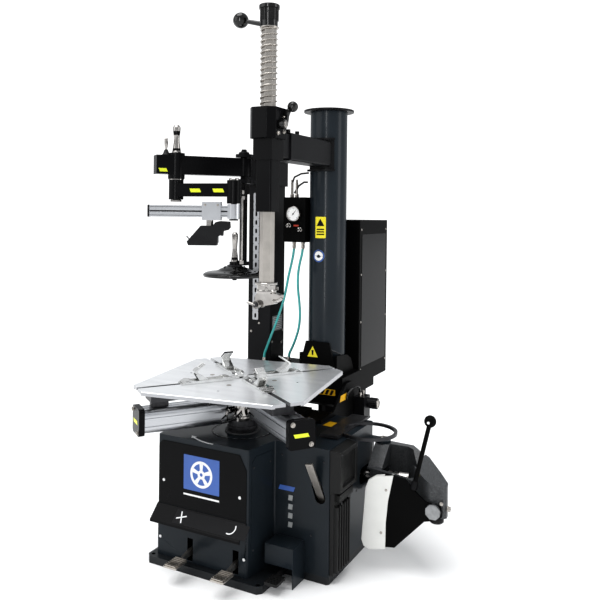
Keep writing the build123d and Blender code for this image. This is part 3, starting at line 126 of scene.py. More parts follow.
def shade_upright_faces(material, colour):
    """Painted shade: a plate's upright faces get a darker colour than its level faces, blended by
    how far each face tilts.
    """
    tree = material.node_tree
    link = tree.links.new
    shader = tree.nodes[SHADER]
    face_colour = shader.inputs["Base Color"].links[0].from_socket
    geometry = tree.nodes.new("ShaderNodeNewGeometry")
    parts = tree.nodes.new("ShaderNodeSeparateXYZ")
    upward = tree.nodes.new("ShaderNodeMath")
    upward.operation = "ABSOLUTE"
    mix = tree.nodes.new("ShaderNodeMix")
    mix.data_type = "RGBA"
    mix.inputs["A"].default_value = (*colour, 1)
    link(geometry.outputs["True Normal"], parts.inputs["Vector"])
    link(parts.outputs["Z"], upward.inputs[0])
    link(upward.outputs["Value"], mix.inputs["Factor"])
    link(face_colour, mix.inputs["B"])
    link(mix.outputs["Result"], shader.inputs["Base Color"])


def sticker(name, colour, rough=0.36, vary=0.04, scale=40, bump=0.04):
    """Printed film."""
    return finish(name, colour, rough, vary=vary, scale=scale, bump=bump, grain=600)


SLATE = finish(
    "slate_paint", (0.014, 0.019, 0.024), rough=0.30, scale=6, bump=0.05, grain=900,
    coat=0.12, gloss=0.15)
BLACK_GLOSS = finish(
    "black_gloss_paint", (0.004, 0.004, 0.0045), rough=0.25, scale=5, bump=0.03, grain=700,
    gloss=0.10, rough_vary=0.03)
BLACK = finish(
    "black_powder_paint", (0.008, 0.008, 0.009), rough=0.38, scale=9, bump=0.22, grain=1400,
    gloss=0.12)
DEEP_BLACK = finish(
    "matt_black_sheet", (0.004, 0.004, 0.004), rough=0.5, scale=8, bump=0.1, grain=900,
    gloss=0.05)
BASE_PAINT = finish(
    "base_frame_paint", (0.012, 0.014, 0.016), rough=0.36, scale=14, bump=0.1, grain=900,
    gloss=0.3)
HAMMER = finish(
    "speckled_grey_paint", (0.030, 0.031, 0.033), rough=0.34, scale=18, bump=0.35, grain=520,
    specks=(0.10, 0.105, 0.11), gloss=0.4)
PLATE_STEEL = finish(
    "satin_plate_steel", (0.93, 0.94, 0.96), rough=0.30, metal=0.75, vary=0.05, scale=5,
    bump=0.05, grain=160, stretch=(1, 7, 1), rough_vary=0.06)
# Painted shade on the table plates' upright faces.
shade_upright_faces(PLATE_STEEL, (0.42, 0.425, 0.44))
BRIGHT_STEEL = finish(
    "bright_jaw_steel", (0.78, 0.78, 0.77), rough=0.22, metal=1.0, vary=0.12, scale=45,
    bump=0.08, grain=500)
WORN_STEEL = finish(
    "worn_grey_steel", (0.30, 0.305, 0.31), rough=0.45, metal=0.6, vary=0.15, scale=60,
    bump=0.2, grain=700)
DARK_STEEL = finish(
    "blackened_steel", (0.045, 0.045, 0.048), rough=0.38, metal=0.7, vary=0.3, scale=40,
    bump=0.12, grain=600)
CAST = finish(
    "cast_housing", (0.05, 0.05, 0.052), rough=0.6, scale=30, bump=0.5, grain=350)
ALUMINIUM = finish(
    "drawn_aluminium", (0.52, 0.53, 0.55), rough=0.34, metal=0.95, vary=0.04, scale=14,
    bump=0.04, grain=500, rough_vary=0.04)
CHROME = finish(
    "chrome", (0.38, 0.365, 0.35), rough=0.14, metal=1.0, vary=0.2, scale=25, bump=0.02,
    grain=300, rough_vary=0.04)
ZINC = finish(
    "zinc_plated_steel", (0.44, 0.415, 0.385), rough=0.30, metal=0.95, vary=0.08, scale=30,
    bump=0.05, grain=700, rough_vary=0.04)
PLASTIC = finish(
    "moulded_black_plastic", (0.008, 0.008, 0.009), rough=0.42, scale=20, bump=0.25,
    grain=1100, gloss=0.3)
GLOSS_PLASTIC = finish(
    "gloss_black_plastic", (0.004, 0.004, 0.004), rough=0.13, scale=8, bump=0.02, grain=300,
    rough_vary=0.03, gloss=0.45)
RUBBER = finish(
    "black_rubber", (0.008, 0.008, 0.008), rough=0.5, scale=25, bump=0.4, grain=800,
    gloss=0.3)
WHITE_PLASTIC = finish(
    "white_nylon", (0.84, 0.84, 0.81), rough=0.38, vary=0.03, scale=18, bump=0.12, grain=500)
HOSE = finish(
    "teal_hose", (0.05, 0.42, 0.40), rough=0.22, vary=0.10, scale=40, bump=0.05, grain=900,
    coat=0.3)
YELLOW = sticker("yellow_film", (0.90, 0.78, 0.03))
LIME = sticker("lime_film", (0.76, 0.84, 0.03))
AMBER = sticker("amber_film", (0.86, 0.48, 0.01), vary=0.06)
WHITE_FILM = sticker("white_film", (0.86, 0.86, 0.86), rough=0.4, vary=0.03)
BLUE_FILM = sticker("blue_film", (0.045, 0.12, 0.40), rough=0.34, vary=0.05, scale=30)
GREY_FILM = sticker("grey_film", (0.30, 0.31, 0.31), 0.45, vary=0.1, scale=60, bump=0.05)
RED_FILM = sticker("red_film", (0.55, 0.05, 0.02), 0.4, vary=0.08, scale=60, bump=0.05)
DIAL = finish(
    "dial_face", (0.97, 0.97, 0.96), rough=0.3, vary=0.02, scale=30, bump=0.02, grain=400,
    coat=0.5)

CAD_FINISH = {
    SLATE: ("cabinet", "lower_cover", "pedal_guard", "column", "breaker_hinge"),
    BLACK_GLOSS: ("front_cover", "deflector", "clamp_caps", "head_box", "upper_arm",
                  "lower_arm", "disc_arm"),
    DEEP_BLACK: ("tower_box", "air_panel", "blade", "tilt_bracket", "tilt_base"),
    BLACK: ("column_head", "helper_carriage", "arm_tube", "helper_post"),
    BASE_PAINT: ("base_tray",),
    HAMMER: ("breaker_arm",),
    PLATE_STEEL: ("table_plates",),
    BRIGHT_STEEL: ("jaw_left", "jaw_right", "jaw_front", "jaw_back"),
    DARK_STEEL: ("pedal_shaft", "grease_ring", "spindle", "guide_cross", "rotary_hub"),
    CAST: ("gearmotor",),
    ALUMINIUM: ("clamp_barrel_left", "clamp_barrel_front", "tilt_cylinder", "slide_bar",
                "bar_slider", "breaker_cylinder"),
    CHROME: ("clamp_rod_left", "clamp_rod_front", "tilt_rod", "breaker_rod", "mount_head"),
    ZINC: ("pedal_left", "pedal_right", "tyre_lever", "tool_shaft", "shaft_spring"),
    PLASTIC: ("press_block", "air_unit"),
    GLOSS_PLASTIC: ("shaft_cap", "lock_lever", "press_disc"),
    RUBBER: ("side_pad", "side_pedal"),
    WHITE_PLASTIC: ("blade_pad",),
    HOSE: ("hose_left", "hose_right"),
}
SAME_POINT = 0.00001          # metres within which the CAD's doubled points are joined
SOFT_EDGE = 0.0009            # metres of rounding on an edge
EDGE = {"table_plates": 0.0016, "head_box": 0.0022, "blade_pad": 0.004, "press_block": 0.003,
        "upper_arm": 0.0022, "lower_arm": 0.0018, "side_pad": 0.002, "breaker_arm": 0.002}
for material, names in CAD_FINISH.items():
    for name in names:
        node = NODES[name]
        node.data.materials.clear()
        node.data.materials.append(material)
        weld = node.modifiers.new("weld", "WELD")
        weld.merge_threshold = SAME_POINT
        soft = node.modifiers.new("soft_edge", "BEVEL")
        soft.width = EDGE.get(name, SOFT_EDGE)
        soft.segments = 2
        soft.limit_method = "ANGLE"
        soft.angle_limit = radians(38)
        soft.harden_normals = False
        for polygon in node.data.polygons:
            polygon.use_smooth = True
        smooth = node.modifiers.new("normals", "WEIGHTED_NORMAL")
        smooth.keep_sharp = False


# ---- making pieces ----

def place(piece, body, material, slot=None):
    piece.data.materials.append(material)
    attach(piece, body)
    return piece


def piece_from(name, build, body, material, slot=None, smooth=True):
    """A new object from the finished mesh, riding on a body."""
    mesh = bpy.data.meshes.new(name)
    build.normal_update()
    build.to_mesh(mesh)
    build.free()
    piece = bpy.data.objects.new(name, mesh)
    bpy.context.scene.collection.objects.link(piece)
    if smooth:
        mesh.shade_smooth()
        mesh.set_sharp_from_angle(angle=radians(32))
    return place(piece, body, material, slot)


def frame_matrix(origin, normal, up=UP):
    """Local x to the right when looking against normal, local y along up."""
    z = Vector(normal).normalized()
    x = Vector(up).cross(z).normalized()
    y = z.cross(x)
    matrix = Matrix((x, y, z)).transposed().to_4x4()
    matrix.translation = mm(*origin)
    return matrix


def level(x, y, z, normal=UP):
    """Frame on a level face: local z along normal, local y to the back."""
    return frame_matrix((x, y, z), normal, BACK)


def add_prism(build, points, thickness, matrix):
    """A flat plate with the given outline, its back face on the matrix's plane."""
    low = [build.verts.new(matrix @ mm(x, y, 0)) for x, y in points]
    high = [build.verts.new(matrix @ mm(x, y, thickness)) for x, y in points]
    build.faces.new(list(reversed(low)))
    build.faces.new(high)
    count = len(points)
    for i in range(count):
        j = (i + 1) % count
        build.faces.new((low[i], low[j], high[j], high[i]))


def add_lathe(build, profile, matrix, steps=32):
    """Profile of (radius, height) turned about the matrix's local z."""
    rings = []
    for radius, height in profile:
        if radius < 0.01:
            rings.append([build.verts.new(matrix @ mm(0, 0, height))])
            continue
        rings.append([
            build.verts.new(matrix @ mm(
                radius * cos(2 * pi * i / steps), radius * sin(2 * pi * i / steps), height))
            for i in range(steps)
        ])
    for a, b in zip(rings, rings[1:]):
        for i in range(steps):
            j = (i + 1) % steps
            if len(a) == 1:
                build.faces.new((a[0], b[j], b[i]))
            elif len(b) == 1:
                build.faces.new((a[i], a[j], b[0]))
            else:
                build.faces.new((a[i], a[j], b[j], b[i]))
    if len(rings[0]) > 1:
        build.faces.new(list(reversed(rings[0])))
    if len(rings[-1]) > 1:
        build.faces.new(rings[-1])


def turned(name, profile, matrix, steps, body, material):
    """A piece turned from one profile."""
    build = bmesh.new()
    add_lathe(build, profile, matrix, steps)
    return piece_from(name, build, body, material)


def add_tube(build, path, radius, steps=10):
    """Round tube along a list of points in millimetres."""
    points = [mm(*p) for p in path]
    rings = []
    side = None
    for i, point in enumerate(points):
        ahead = points[min(i + 1, len(points) - 1)] - points[max(i - 1, 0)]
        ahead.normalize()
        if side is None:
            side = ahead.orthogonal().normalized()
        side = (side - ahead * side.dot(ahead)).normalized()
        other = ahead.cross(side)
        rings.append([
            build.verts.new(point + (side * cos(t) + other * sin(t)) * radius * MM)
            for t in (2 * pi * k / steps for k in range(steps))
        ])
    for a, b in zip(rings, rings[1:]):
        for i in range(steps):
            j = (i + 1) % steps
            build.faces.new((a[i], a[j], b[j], b[i]))
    build.faces.new(list(reversed(rings[0])))
    build.faces.new(rings[-1])


def arc(cx, cy, radius, start, end, steps=12):
    return [
        (cx + radius * cos(radians(start + (end - start) * i / steps)),
         cy + radius * sin(radians(start + (end - start) * i / steps)))
        for i in range(steps + 1)
    ]


def ring_outline(cx, cy, outer, inner, start, end, steps=24):
    """Outline of a band, part of a ring."""
    return arc(cx, cy, outer, start, end, steps) + arc(cx, cy, inner, end, start, steps)


def rounded(width, height, radius, steps=5):
    """Rectangle about the origin with round corners."""
    a, b = width / 2 - radius, height / 2 - radius
    return (
        arc(a, b, radius, 0, 90, steps) + arc(-a, b, radius, 90, 180, steps)
        + arc(-a, -b, radius, 180, 270, steps) + arc(a, -b, radius, 270, 360, steps)
    )


def film(name, outlines, origin, normal, body, material, thickness=0.4, up=UP):
    """Printed marks or stickers: thin plates standing on a surface."""
    build = bmesh.new()
    matrix = frame_matrix(origin, normal, up)
    for points in outlines:
        add_prism(build, points, thickness, matrix)
    return piece_from(name, build, body, material, smooth=False)


def heading(angle):
    """Level direction at an angle in degrees from +X."""
    a = radians(angle)
    return (cos(a), sin(a), 0)


def axes(angle):
    """Flat unit vectors along an angle in degrees and across it, to its left."""
    a = radians(angle)
    return Vector((cos(a), sin(a))), Vector((-sin(a), cos(a)))


def screw_frame(origin, normal):
    return frame_matrix(origin, normal, UP if abs(normal[2]) < 0.9 else BACK)


def add_bolt(build, origin, normal, radius, height, sides=6):
    """Washer, chamfered hexagon or round head, and a small recess."""
    matrix = screw_frame(origin, normal)
    add_lathe(build, [(radius * 1.25, 0), (radius * 1.25, 1.2), (radius * 1.1, 1.5)], matrix, 24)
    top = 1.5 + height
    add_lathe(
        build,
        [(radius, 1.4), (radius, top - 1.2), (radius * 0.86, top), (radius * 0.42, top),
         (radius * 0.36, top - 0.4 * height), (0, top - 0.4 * height)],
        matrix, sides,
    )


def bolts(name, places, normal, radius, height, body, material, sides=6):
    build = bmesh.new()
    for origin in places:
        add_bolt(build, origin, normal, radius, height, sides)
    return piece_from(name, build, body, material)


def dome_screws(name, places, normal, radius, body, material):
    build = bmesh.new()
    for origin in places:
        matrix = screw_frame(origin, normal)
        add_lathe(build, [
            (radius, 0), (radius, 0.5), (radius * 0.85, 1.6), (radius * 0.5, 2.3),
            (radius * 0.3, 2.4), (radius * 0.26, 1.3), (0, 1.3)], matrix, 20)
    return piece_from(name, build, body, material)


# ---- camera ----

LOOK = radians(27.685)
camera_data = bpy.data.cameras.new("camera")
camera = bpy.data.objects.new("camera", camera_data)
bpy.context.scene.collection.objects.link(camera)
camera_data.sensor_width = 36     # millimetres, as is the lens
camera_data.lens = 42.44
camera_data.shift_x = -0.0016
camera_data.shift_y = -0.1439
camera_data.clip_end = 60
camera.location = (1.348, -2.138, 1.215)
ROLL = radians(0.62)
camera.matrix_world = (
    Matrix.Translation(camera.location)
    @ Matrix.Rotation(LOOK, 4, "Z")
    @ Matrix.Rotation(pi / 2, 4, "X")
    @ Matrix.Rotation(ROLL, 4, "Z")
)
bpy.context.scene.camera = camera

# ---- floor and lights ----

world = bpy.data.worlds.new("studio")
bpy.context.scene.world = world
world.use_nodes = True
sky = world.node_tree
sky_light = sky.nodes["Background"]
sky_light.inputs["Color"].default_value = (0.96, 0.98, 1, 1)
sky_light.inputs["Strength"].default_value = 0.6
backdrop = sky.nodes.new("ShaderNodeBackground")
backdrop.inputs["Color"].default_value = (1, 1, 1, 1)
backdrop.inputs["Strength"].default_value = 1.05
ray_kind = sky.nodes.new("ShaderNodeLightPath")
choose = sky.nodes.new("ShaderNodeMixShader")
sky.links.new(ray_kind.outputs["Is Camera Ray"], choose.inputs["Fac"])
sky.links.new(sky_light.outputs["Background"], choose.inputs[1])
sky.links.new(backdrop.outputs["Background"], choose.inputs[2])
sky.links.new(choose.outputs["Shader"], sky.nodes["World Output"].inputs["Surface"])
bpy.context.scene.view_settings.view_transform = "Standard"
bpy.context.scene.view_settings.look = "Medium High Contrast"

FLOOR_HALF = 30               # metres
floor_build = bmesh.new()
corners = ((-1, -1), (1, -1), (1, 1), (-1, 1))
floor_build.faces.new([
    floor_build.verts.new((x * FLOOR_HALF, y * FLOOR_HALF, 0)) for x, y in corners
])
floor_mesh = bpy.data.meshes.new("floor")
floor_build.to_mesh(floor_mesh)
floor_build.free()
floor = bpy.data.objects.new("floor", floor_mesh)
bpy.context.scene.collection.objects.link(floor)
floor_mesh.materials.append(finish(
    "pale_floor", (0.93, 0.93, 0.93), rough=0.7, vary=0.01, scale=2, bump=0.02, grain=60))


def soft_light(name, location, target, size, power, size_y=None):
    """Area light aimed at a target; metres and watts."""
    data = bpy.data.lights.new(name, "AREA")
    data.energy = power
    data.size = size
    if size_y:
        data.shape = "RECTANGLE"
        data.size_y = size_y
    lamp = bpy.data.objects.new(name, data)
    lamp.location = location
    lamp.rotation_euler = (Vector(target) - Vector(location)).to_track_quat("-Z", "Y").to_euler()
    bpy.context.scene.collection.objects.link(lamp)
    return lamp


soft_light("key", (-2.6, -2.6, 2.8), (0, 0.1, 0.9), 3.0, 34)
strip = soft_light("strip", (0.75, -3.3, 1.7), (0.09, 0.5, 1.1), 0.3, 34, 2.8)
# The strip lights only the painted parts, for the long highlights on them.
painted = bpy.data.collections.new("painted_parts")
for name in ("column", "column_head", "head_box", "upper_arm", "lower_arm", "press_disc",
             "lock_lever", "shaft_cap", "helper_post", "disc_arm", "arm_tube"):
    painted.objects.link(NODES[name])
strip.light_linking.receiver_collection = painted
soft_light("side", (3.4, 0.9, 1.9), (0.1, 0.3, 0.9), 1.2, 22, 2.4)
sun_data = bpy.data.lights.new("ceiling", "SUN")
sun_data.energy = 2.1
sun_data.angle = radians(50)
ceiling = bpy.data.objects.new("ceiling", sun_data)
ceiling.rotation_euler = (radians(12), radians(-8), 0)
bpy.context.scene.collection.objects.link(ceiling)

# ---- hoses ----

HOSE_ROUTES = {
    "hose_left": [
        (-33, 437, 1098), (-33, 437, 1062), (-42, 434, 1012), (-54, 430, 958),
        (-62, 426, 904), (-72, 420, 850), (-86, 411, 798), (-101, 402, 748),
        (-117, 392, 700), (-131, 387, 658), (-142, 386, 630), (-142, 386, 600),
    ],
    "hose_right": [
        (8, 437, 1098), (8, 437, 1062), (-6, 436, 1012), (-13, 434, 960),
        (-11, 432, 906), (-3, 431, 854), (1, 432, 802), (-5, 436, 750),
        (-22, 442, 702), (-44, 448, 656), (-60, 450, 630), (-60, 450, 600),
    ],
}
HOSE_D = 10.0
for name, route in HOSE_ROUTES.items():
    curve = bpy.data.curves.new(name + "_tube", "CURVE")
    curve.dimensions = "3D"
    spline = curve.splines.new("NURBS")
    spline.points.add(len(route) - 1)
    for point, spot in zip(spline.points, route):
        point.co = (*mm(*spot), 1)
    spline.order_u = 3
    spline.use_endpoint_u = True
    curve.bevel_depth = HOSE_D / 2 * MM
    curve.bevel_resolution = 5
    curve.resolution_u = 8
    curve.use_fill_caps = True
    hose = bpy.data.objects.new(name + "_tube", curve)
    bpy.context.scene.collection.objects.link(hose)
    place(hose, TILT, HOSE, "hose_blue")
    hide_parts(name)

build = bmesh.new()
for x in (-33, 8):
    add_lathe(
        build,
        [(9, 0), (9, 7), (7.5, 8), (7.5, 12), (8.5, 13), (8.5, 22), (6.4, 26), (6.4, 28)],
        level(x, 437, 1098, (0, 0, -1)), 6,
    )
for x, y in ((-142, 386), (-60, 450)):
    add_lathe(
        build, [(9, 0), (9, 8), (7, 9), (7, 16), (6.2, 20)],
        level(x, y, 600), 6,
    )
piece_from("hose_fittings", build, TILT, ZINC)

# ---- turntable ----

def along(start, angle, distance, side=0.0):
    a = radians(angle)
    return (
        start[0] + distance * cos(a) - side * sin(a),
        start[1] + distance * sin(a) + side * cos(a),
    )


BARRELS = {
    "clamp_barrel_left": (234, -46, 508, 350),
    "clamp_barrel_front": (-36, 40, 533, 376),
}
BARREL_IN = 58
BARREL_HALF = 42


def barrel_profile():
    """Rounded square with pairs of lengthwise grooves at the ends of its flats."""
    points = []
    groove = 2.2
    for turn in range(4):
        a = radians(90 * turn)
        quarter = []
        for s in (-14, 14):
            quarter += [
                (s - groove, -BARREL_HALF), (s - groove, -BARREL_HALF + 3.2),
                (s + groove, -BARREL_HALF + 3.2), (s + groove, -BARREL_HALF),
            ]
        quarter += arc(BARREL_HALF - 24, -BARREL_HALF + 24, 24, -90, 0, 10)
        points += [(x * cos(a) - y * sin(a), x * sin(a) + y * cos(a)) for x, y in quarter]
    return points


for name, (angle, side, height, reach) in BARRELS.items():
    build = bmesh.new()
    direction = heading(angle)
    origin = (*along((0, 0), angle, BARREL_IN, side), height)
    matrix = frame_matrix(origin, direction)
    add_prism(build, barrel_profile(), reach - BARREL_IN, matrix)
    barrel = piece_from(name + "_profile", build, "turntable", ALUMINIUM, "cylinder_aluminium")
    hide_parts(name)
    build = bmesh.new()
    inner = frame_matrix(origin, [-c for c in direction])
    add_prism(build, rounded(78, 78, 22), 5, inner)
    add_lathe(build, [(15, 4), (15, 12), (11, 14)], inner, 24)
    for across in (-28, 28):
        for up in (-28, 28):
            add_lathe(build, [(5, 4), (5, 9), (4, 10)],
                      inner @ Matrix.Translation(mm(across, up, 0)), 6)
    piece_from(name + "_inner_cap", build, "turntable", BLACK)
    build = bmesh.new()
    post = frame_matrix((*along((0, 0), angle, 290, side), height + BARREL_HALF - 4), (0, 0, 1),
                        direction)
    add_prism(build, rounded(30, 60, 3), 584 - height - BARREL_HALF + 4, post)
    piece_from(name + "_bracket", build, "turntable", DARK_STEEL)
    # stripe and bolts on the outer cap
    face = (*along((0, 0), angle, reach + 20, side), height)
    film(name + "_stripe", [[(-24, -9), (26, -9), (20, 3), (-30, 3)]], face, direction,
         "turntable", LIME)
    spots = []
    for across, up in ((-32, 33), (32, -33)):
        spots.append((*along((0, 0), angle, reach + 20, side + across), height + up))
    bolts(name + "_cap_bolts", spots, direction, 6.5, 5, "turntable", ZINC, 6)

turned("rotary_sleeve", [(34, 0), (34, 10), (30, 12), (30, 40), (36, 42), (36, 54), (30, 56),
       (30, 88)], level(0, 0, 487), 32, "turntable", CHROME)
build = bmesh.new()
for angle, z in ((250, 520), (290, 505), (320, 535), (200, 540), (350, 515), (60, 520)):
    outwards = heading(angle)
    start = (34 * outwards[0], 34 * outwards[1], z)
    matrix = frame_matrix(start, outwards)
    add_lathe(build, [(8.5, 0), (8.5, 9), (6.5, 10), (6.5, 16), (9, 17), (9, 27), (6, 29)],
              matrix, 6)
    knee = (62 * outwards[0], 62 * outwards[1], z)
    add_tube(build, [knee, (68 * outwards[0], 68 * outwards[1], z - 3),
                     (71 * outwards[0], 71 * outwards[1], z - 12)], 5.5, 12)
piece_from("rotary_fittings", build, "turntable", CHROME)
build = bmesh.new()
for angle, z, target in ((250, 520, 300), (320, 535, 350), (200, 540, 235)):
    a, b = radians(angle), radians(target)
    points = []
    for i in range(13):
        t = i / 12
        r = 70 + 46 * sin(pi * t) + 34 * t
        w = a + (b - a) * t
        points.append((r * cos(w), r * sin(w), z - 12 - 16 * sin(pi * t) + 28 * t))
    add_tube(build, points, 3.4, 10)
piece_from("turntable_air_pipes", build, "turntable", GLOSS_PLASTIC)

# ---- jaws ----

JAWS = {"jaw_left": (234, "left_jaw"), "jaw_right": (54, "right_jaw"),
        "jaw_front": (-36, "front_jaw"), "jaw_back": (144, "back_jaw")}


def upright_matrix(angle, side):
    """Local x along the slot, local y up, local z to the slot's right side."""
    a = radians(angle)
    x, y, z = Vector((cos(a), sin(a), 0)), Vector((0, 0, 1)), Vector((sin(a), -cos(a), 0))
    matrix = Matrix((x, y, z)).transposed().to_4x4()
    matrix.translation = mm(side * z[0], side * z[1], 0)
    return matrix


def add_slab(build, angle, outline, low, high):
    """Prism of an upright outline between two sideways offsets."""
    matrix = upright_matrix(angle, low)
    add_prism(build, outline, high - low, matrix)


for name, (angle, body) in JAWS.items():
    build = bmesh.new()
    # base slide, two side rails with sloped ends, inner tongue, outer end, stem in the slot
    add_slab(build, angle, [(46, 629.6), (230, 629.6), (222, 634), (52, 634)], -15, 15)
    for low, high in ((-23, -15), (15, 23)):
        add_slab(build, angle, [
            (44, 629.6), (232, 629.6), (214, 641), (196, 641), (188, 638), (86, 638),
            (78, 641), (60, 641), (44, 635)], low, high)
    add_slab(build, angle, [(14, 629.6), (60, 629.6), (60, 637), (22, 637)], -9, 9)
    add_slab(build, angle, [(200, 634), (226, 634), (212, 642), (200, 642)], -23, 23)
    add_slab(build, angle, [(60, 600), (214, 600), (214, 630), (60, 630)], -7, 7)
    for at in (70, 204):
        matrix = level(*along((0, 0), angle, at), 634)
        add_lathe(build, [(6, 0), (6, 3.6), (5, 4.4), (2.6, 4.4), (2.4, 2.4), (0, 2.4)], matrix, 24)
    # hook: a bent plate with a gripping lip
    spine = [(140, 634), (150, 642), (164, 648), (177, 660), (182, 668), (176, 674),
             (158, 684), (146, 692)]
    inner = [(146, 688), (157, 680.5), (171, 671.5), (174, 667), (170, 663), (159, 653),
             (146, 648), (134, 640)]
    add_slab(build, angle, spine + inner, -16, 16)
    for low, high in ((-17, -12), (12, 17)):
        add_slab(build, angle, [(120, 634), (164, 634), (178, 656), (172, 664), (158, 650),
                                (140, 641)], low, high)
    for k in range(5):      # teeth down the lip's slope
        reach, drop = 4.4 * k, 0.62 * (4.4 * k)
        add_slab(build, angle, [(146 + reach, 692 - drop), (149 + reach, 690.4 - drop),
                                (148.6 + reach, 693.4 - drop)], -15, 15)
    jaw = piece_from(name + "_detailed", build, body, BRIGHT_STEEL, "jaw_steel")
    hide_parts(name)

# The back jaw's hook alone has a darker plate on top.
build = bmesh.new()
add_slab(build, JAWS["jaw_back"][0], [(141, 692.6), (147, 695.9), (184, 672.5), (181, 669)],
         -17, 17)
piece_from("jaw_back_grip", build, "back_jaw", DARK_STEEL)

build = bmesh.new()
for angle in (9, 99, 189, 279):
    spot = along((0, 0), angle, 120)
    matrix = level(*spot, 629)
    add_lathe(build, [(9, 0), (9, 0.5), (8, 0.8), (4.4, 0.8), (4.2, 0.2), (0, 0.2)], matrix, 24)
piece_from("table_screws", build, "turntable", ZINC)

# ---- cabinet ----

SKIN_Y = -180.4
film("cover_badge", [rounded(146, 118, 2)], (-47.5, SKIN_Y + 0.3, 331.5), FRONT,
     "machine", BLUE_FILM)
wheel = [ring_outline(0, 0, 45, 36, i * 90, i * 90 + 89.5, 14) for i in range(4)]
wheel += [ring_outline(0, 0, 15, 6, i * 90, i * 90 + 89.5, 8) for i in range(4)]
for i in range(5):
    along_spoke, across = axes(90 + 72 * i)
    wheel.append([
        tuple(along_spoke * r + across * w)
        for r, w in ((14, -5), (36.6, -7.5), (36.6, 7.5), (14, 5))
    ])
film("badge_wheel_icon", wheel, (-47.5, SKIN_Y - 0.1, 331.5), FRONT, "machine", WHITE_FILM)
film("cover_stripe", [[(-73, -3), (73, -3), (73, 3), (-73, 3)]], (-47.5, SKIN_Y + 0.3, 256),
     FRONT, "machine", WHITE_FILM)


dome_screws("cover_screws", [(-205, SKIN_Y + 0.4, 287), (106, SKIN_Y + 0.4, 284),
                             (-218, SKIN_Y + 0.4, 88), (124, SKIN_Y + 0.4, 86)],
            FRONT, 5.2, "machine", WHITE_FILM)

# Marks on the sloped ledge: a cross and an arc.
LEDGE_DOWN = Vector((0, -223 + 180.5, 162 - 205)).normalized()
LEDGE_NORMAL = Vector((0, LEDGE_DOWN.z, -LEDGE_DOWN.y))
LEDGE_UP = -LEDGE_DOWN
ledge_mid = (0, (-223 - 180.5) / 2, (162 + 205) / 2)
cross = []
for tilt in (20, 110):
    d, n = axes(tilt)
    cross.append([tuple(d * s * 20 + n * w * 2.2) for s, w in ((-1, -1), (1, -1), (1, 1), (-1, 1))])
film("ledge_cross", cross, (-112, ledge_mid[1], ledge_mid[2]), LEDGE_NORMAL, "machine",
     WHITE_FILM, up=LEDGE_UP)
film("ledge_arc", [ring_outline(0, 6, 22, 18, -110, 30)], (82, ledge_mid[1], ledge_mid[2]),
     LEDGE_NORMAL, "machine", WHITE_FILM, up=LEDGE_UP)
film("ledge_band", [[(-140, -24), (150, -24), (150, 24), (-140, 24)]],
     (0, ledge_mid[1] + 0.35, ledge_mid[2] + 0.35), LEDGE_NORMAL, "machine", BLACK,
     thickness=0.3, up=LEDGE_UP)

# Turning arrow and dashed ring printed on the cabinet's top, seal ring round the spindle.
TOP = 443.0
tip = [(radius * cos(radians(angle)), radius * sin(radians(angle)))
       for radius, angle in ((193, 238), (172, 238), (183, 230))]
film("turning_arrow", [ring_outline(0, 0, 186, 179, 238, 270), tip], (0, 0, TOP), UP, "machine",
     WHITE_FILM, thickness=0.3, up=BACK)
film("dashed_ring", [ring_outline(0, 0, 103, 101, a, a + 8, 3) for a in range(0, 360, 15)],
     (0, 0, TOP), UP, "machine", GREY_FILM, thickness=0.3, up=BACK)
film("seal_ring", [ring_outline(0, 0, 109, 104.5, a, a + 44.8, 12) for a in range(0, 360, 45)],
     (0, 0, TOP), UP, "machine", BLACK_GLOSS, thickness=0.8, up=BACK)

# Raised panel on the angled side wall.
SIDE_START, SIDE_END = Vector((136, -178)), Vector((160, -45))
side_dir = (SIDE_END - SIDE_START).normalized()
side_normal = (side_dir.y, -side_dir.x, 0)
film("side_panel", [[(-50, -150), (-50, 150), (-32, 168), (52, 168), (52, -150)]],
     (*((SIDE_START + SIDE_END) / 2), 246), side_normal, "machine", SLATE, thickness=1.6)
dome_screws("side_panel_screws",
            [(*(SIDE_START + side_dir * s + Vector(side_normal[:2]) * 1.6), z)
             for s in (26, 110) for z in (110, 380)],
            side_normal, 3.4, "machine", DARK_STEEL)

# Plain stripes on the rear box.
BOX_Y = -45.2
film("box_band_blue", [[(-31, -8), (27, -8), (33, 8), (-25, 8)]], (206, BOX_Y, 290), FRONT,
     "machine", BLUE_FILM)
film("box_bands_white", [
    [(-9, y - 9), (7, y - 9), (9, y + 9), (-7, y + 9)] for y in (44, 14, -16, -46)
], (222, BOX_Y, 216), FRONT, "machine", GREY_FILM)
dome_screws("box_screws", [(188, BOX_Y, 400), (345, BOX_Y, 400), (300, BOX_Y, 150)], FRONT, 3.2,
            "machine", DARK_STEEL)

# Ribs on the pedals' treads.
for name, x in (("left", -91.0), ("right", 92.0)):
    build = bmesh.new()
    for k in range(7):
        matrix = level(x + 8, -297 + 9.2 * k, 68.4)
        add_prism(build, rounded(42, 4.2, 1.4), 1.8, matrix)
    piece_from(f"tread_ribs_{name}", build, f"{name}_pedal", ZINC)
build = bmesh.new()
for k in range(5):
    matrix = level(232, -186 + 10 * k, 43)
    add_prism(build, rounded(40, 5, 1.6), 2.0, matrix)
piece_from("side_tread_ribs", build, "inflation_pedal", RUBBER)

# ---- column and stickers ----

COLUMN = (90.0, 500.0)
COLUMN_R = 76.0


FILM = 0.35                   # thickness of a sticker on the column
PIECE = 4                     # longest straight run of a sticker's edge round the column


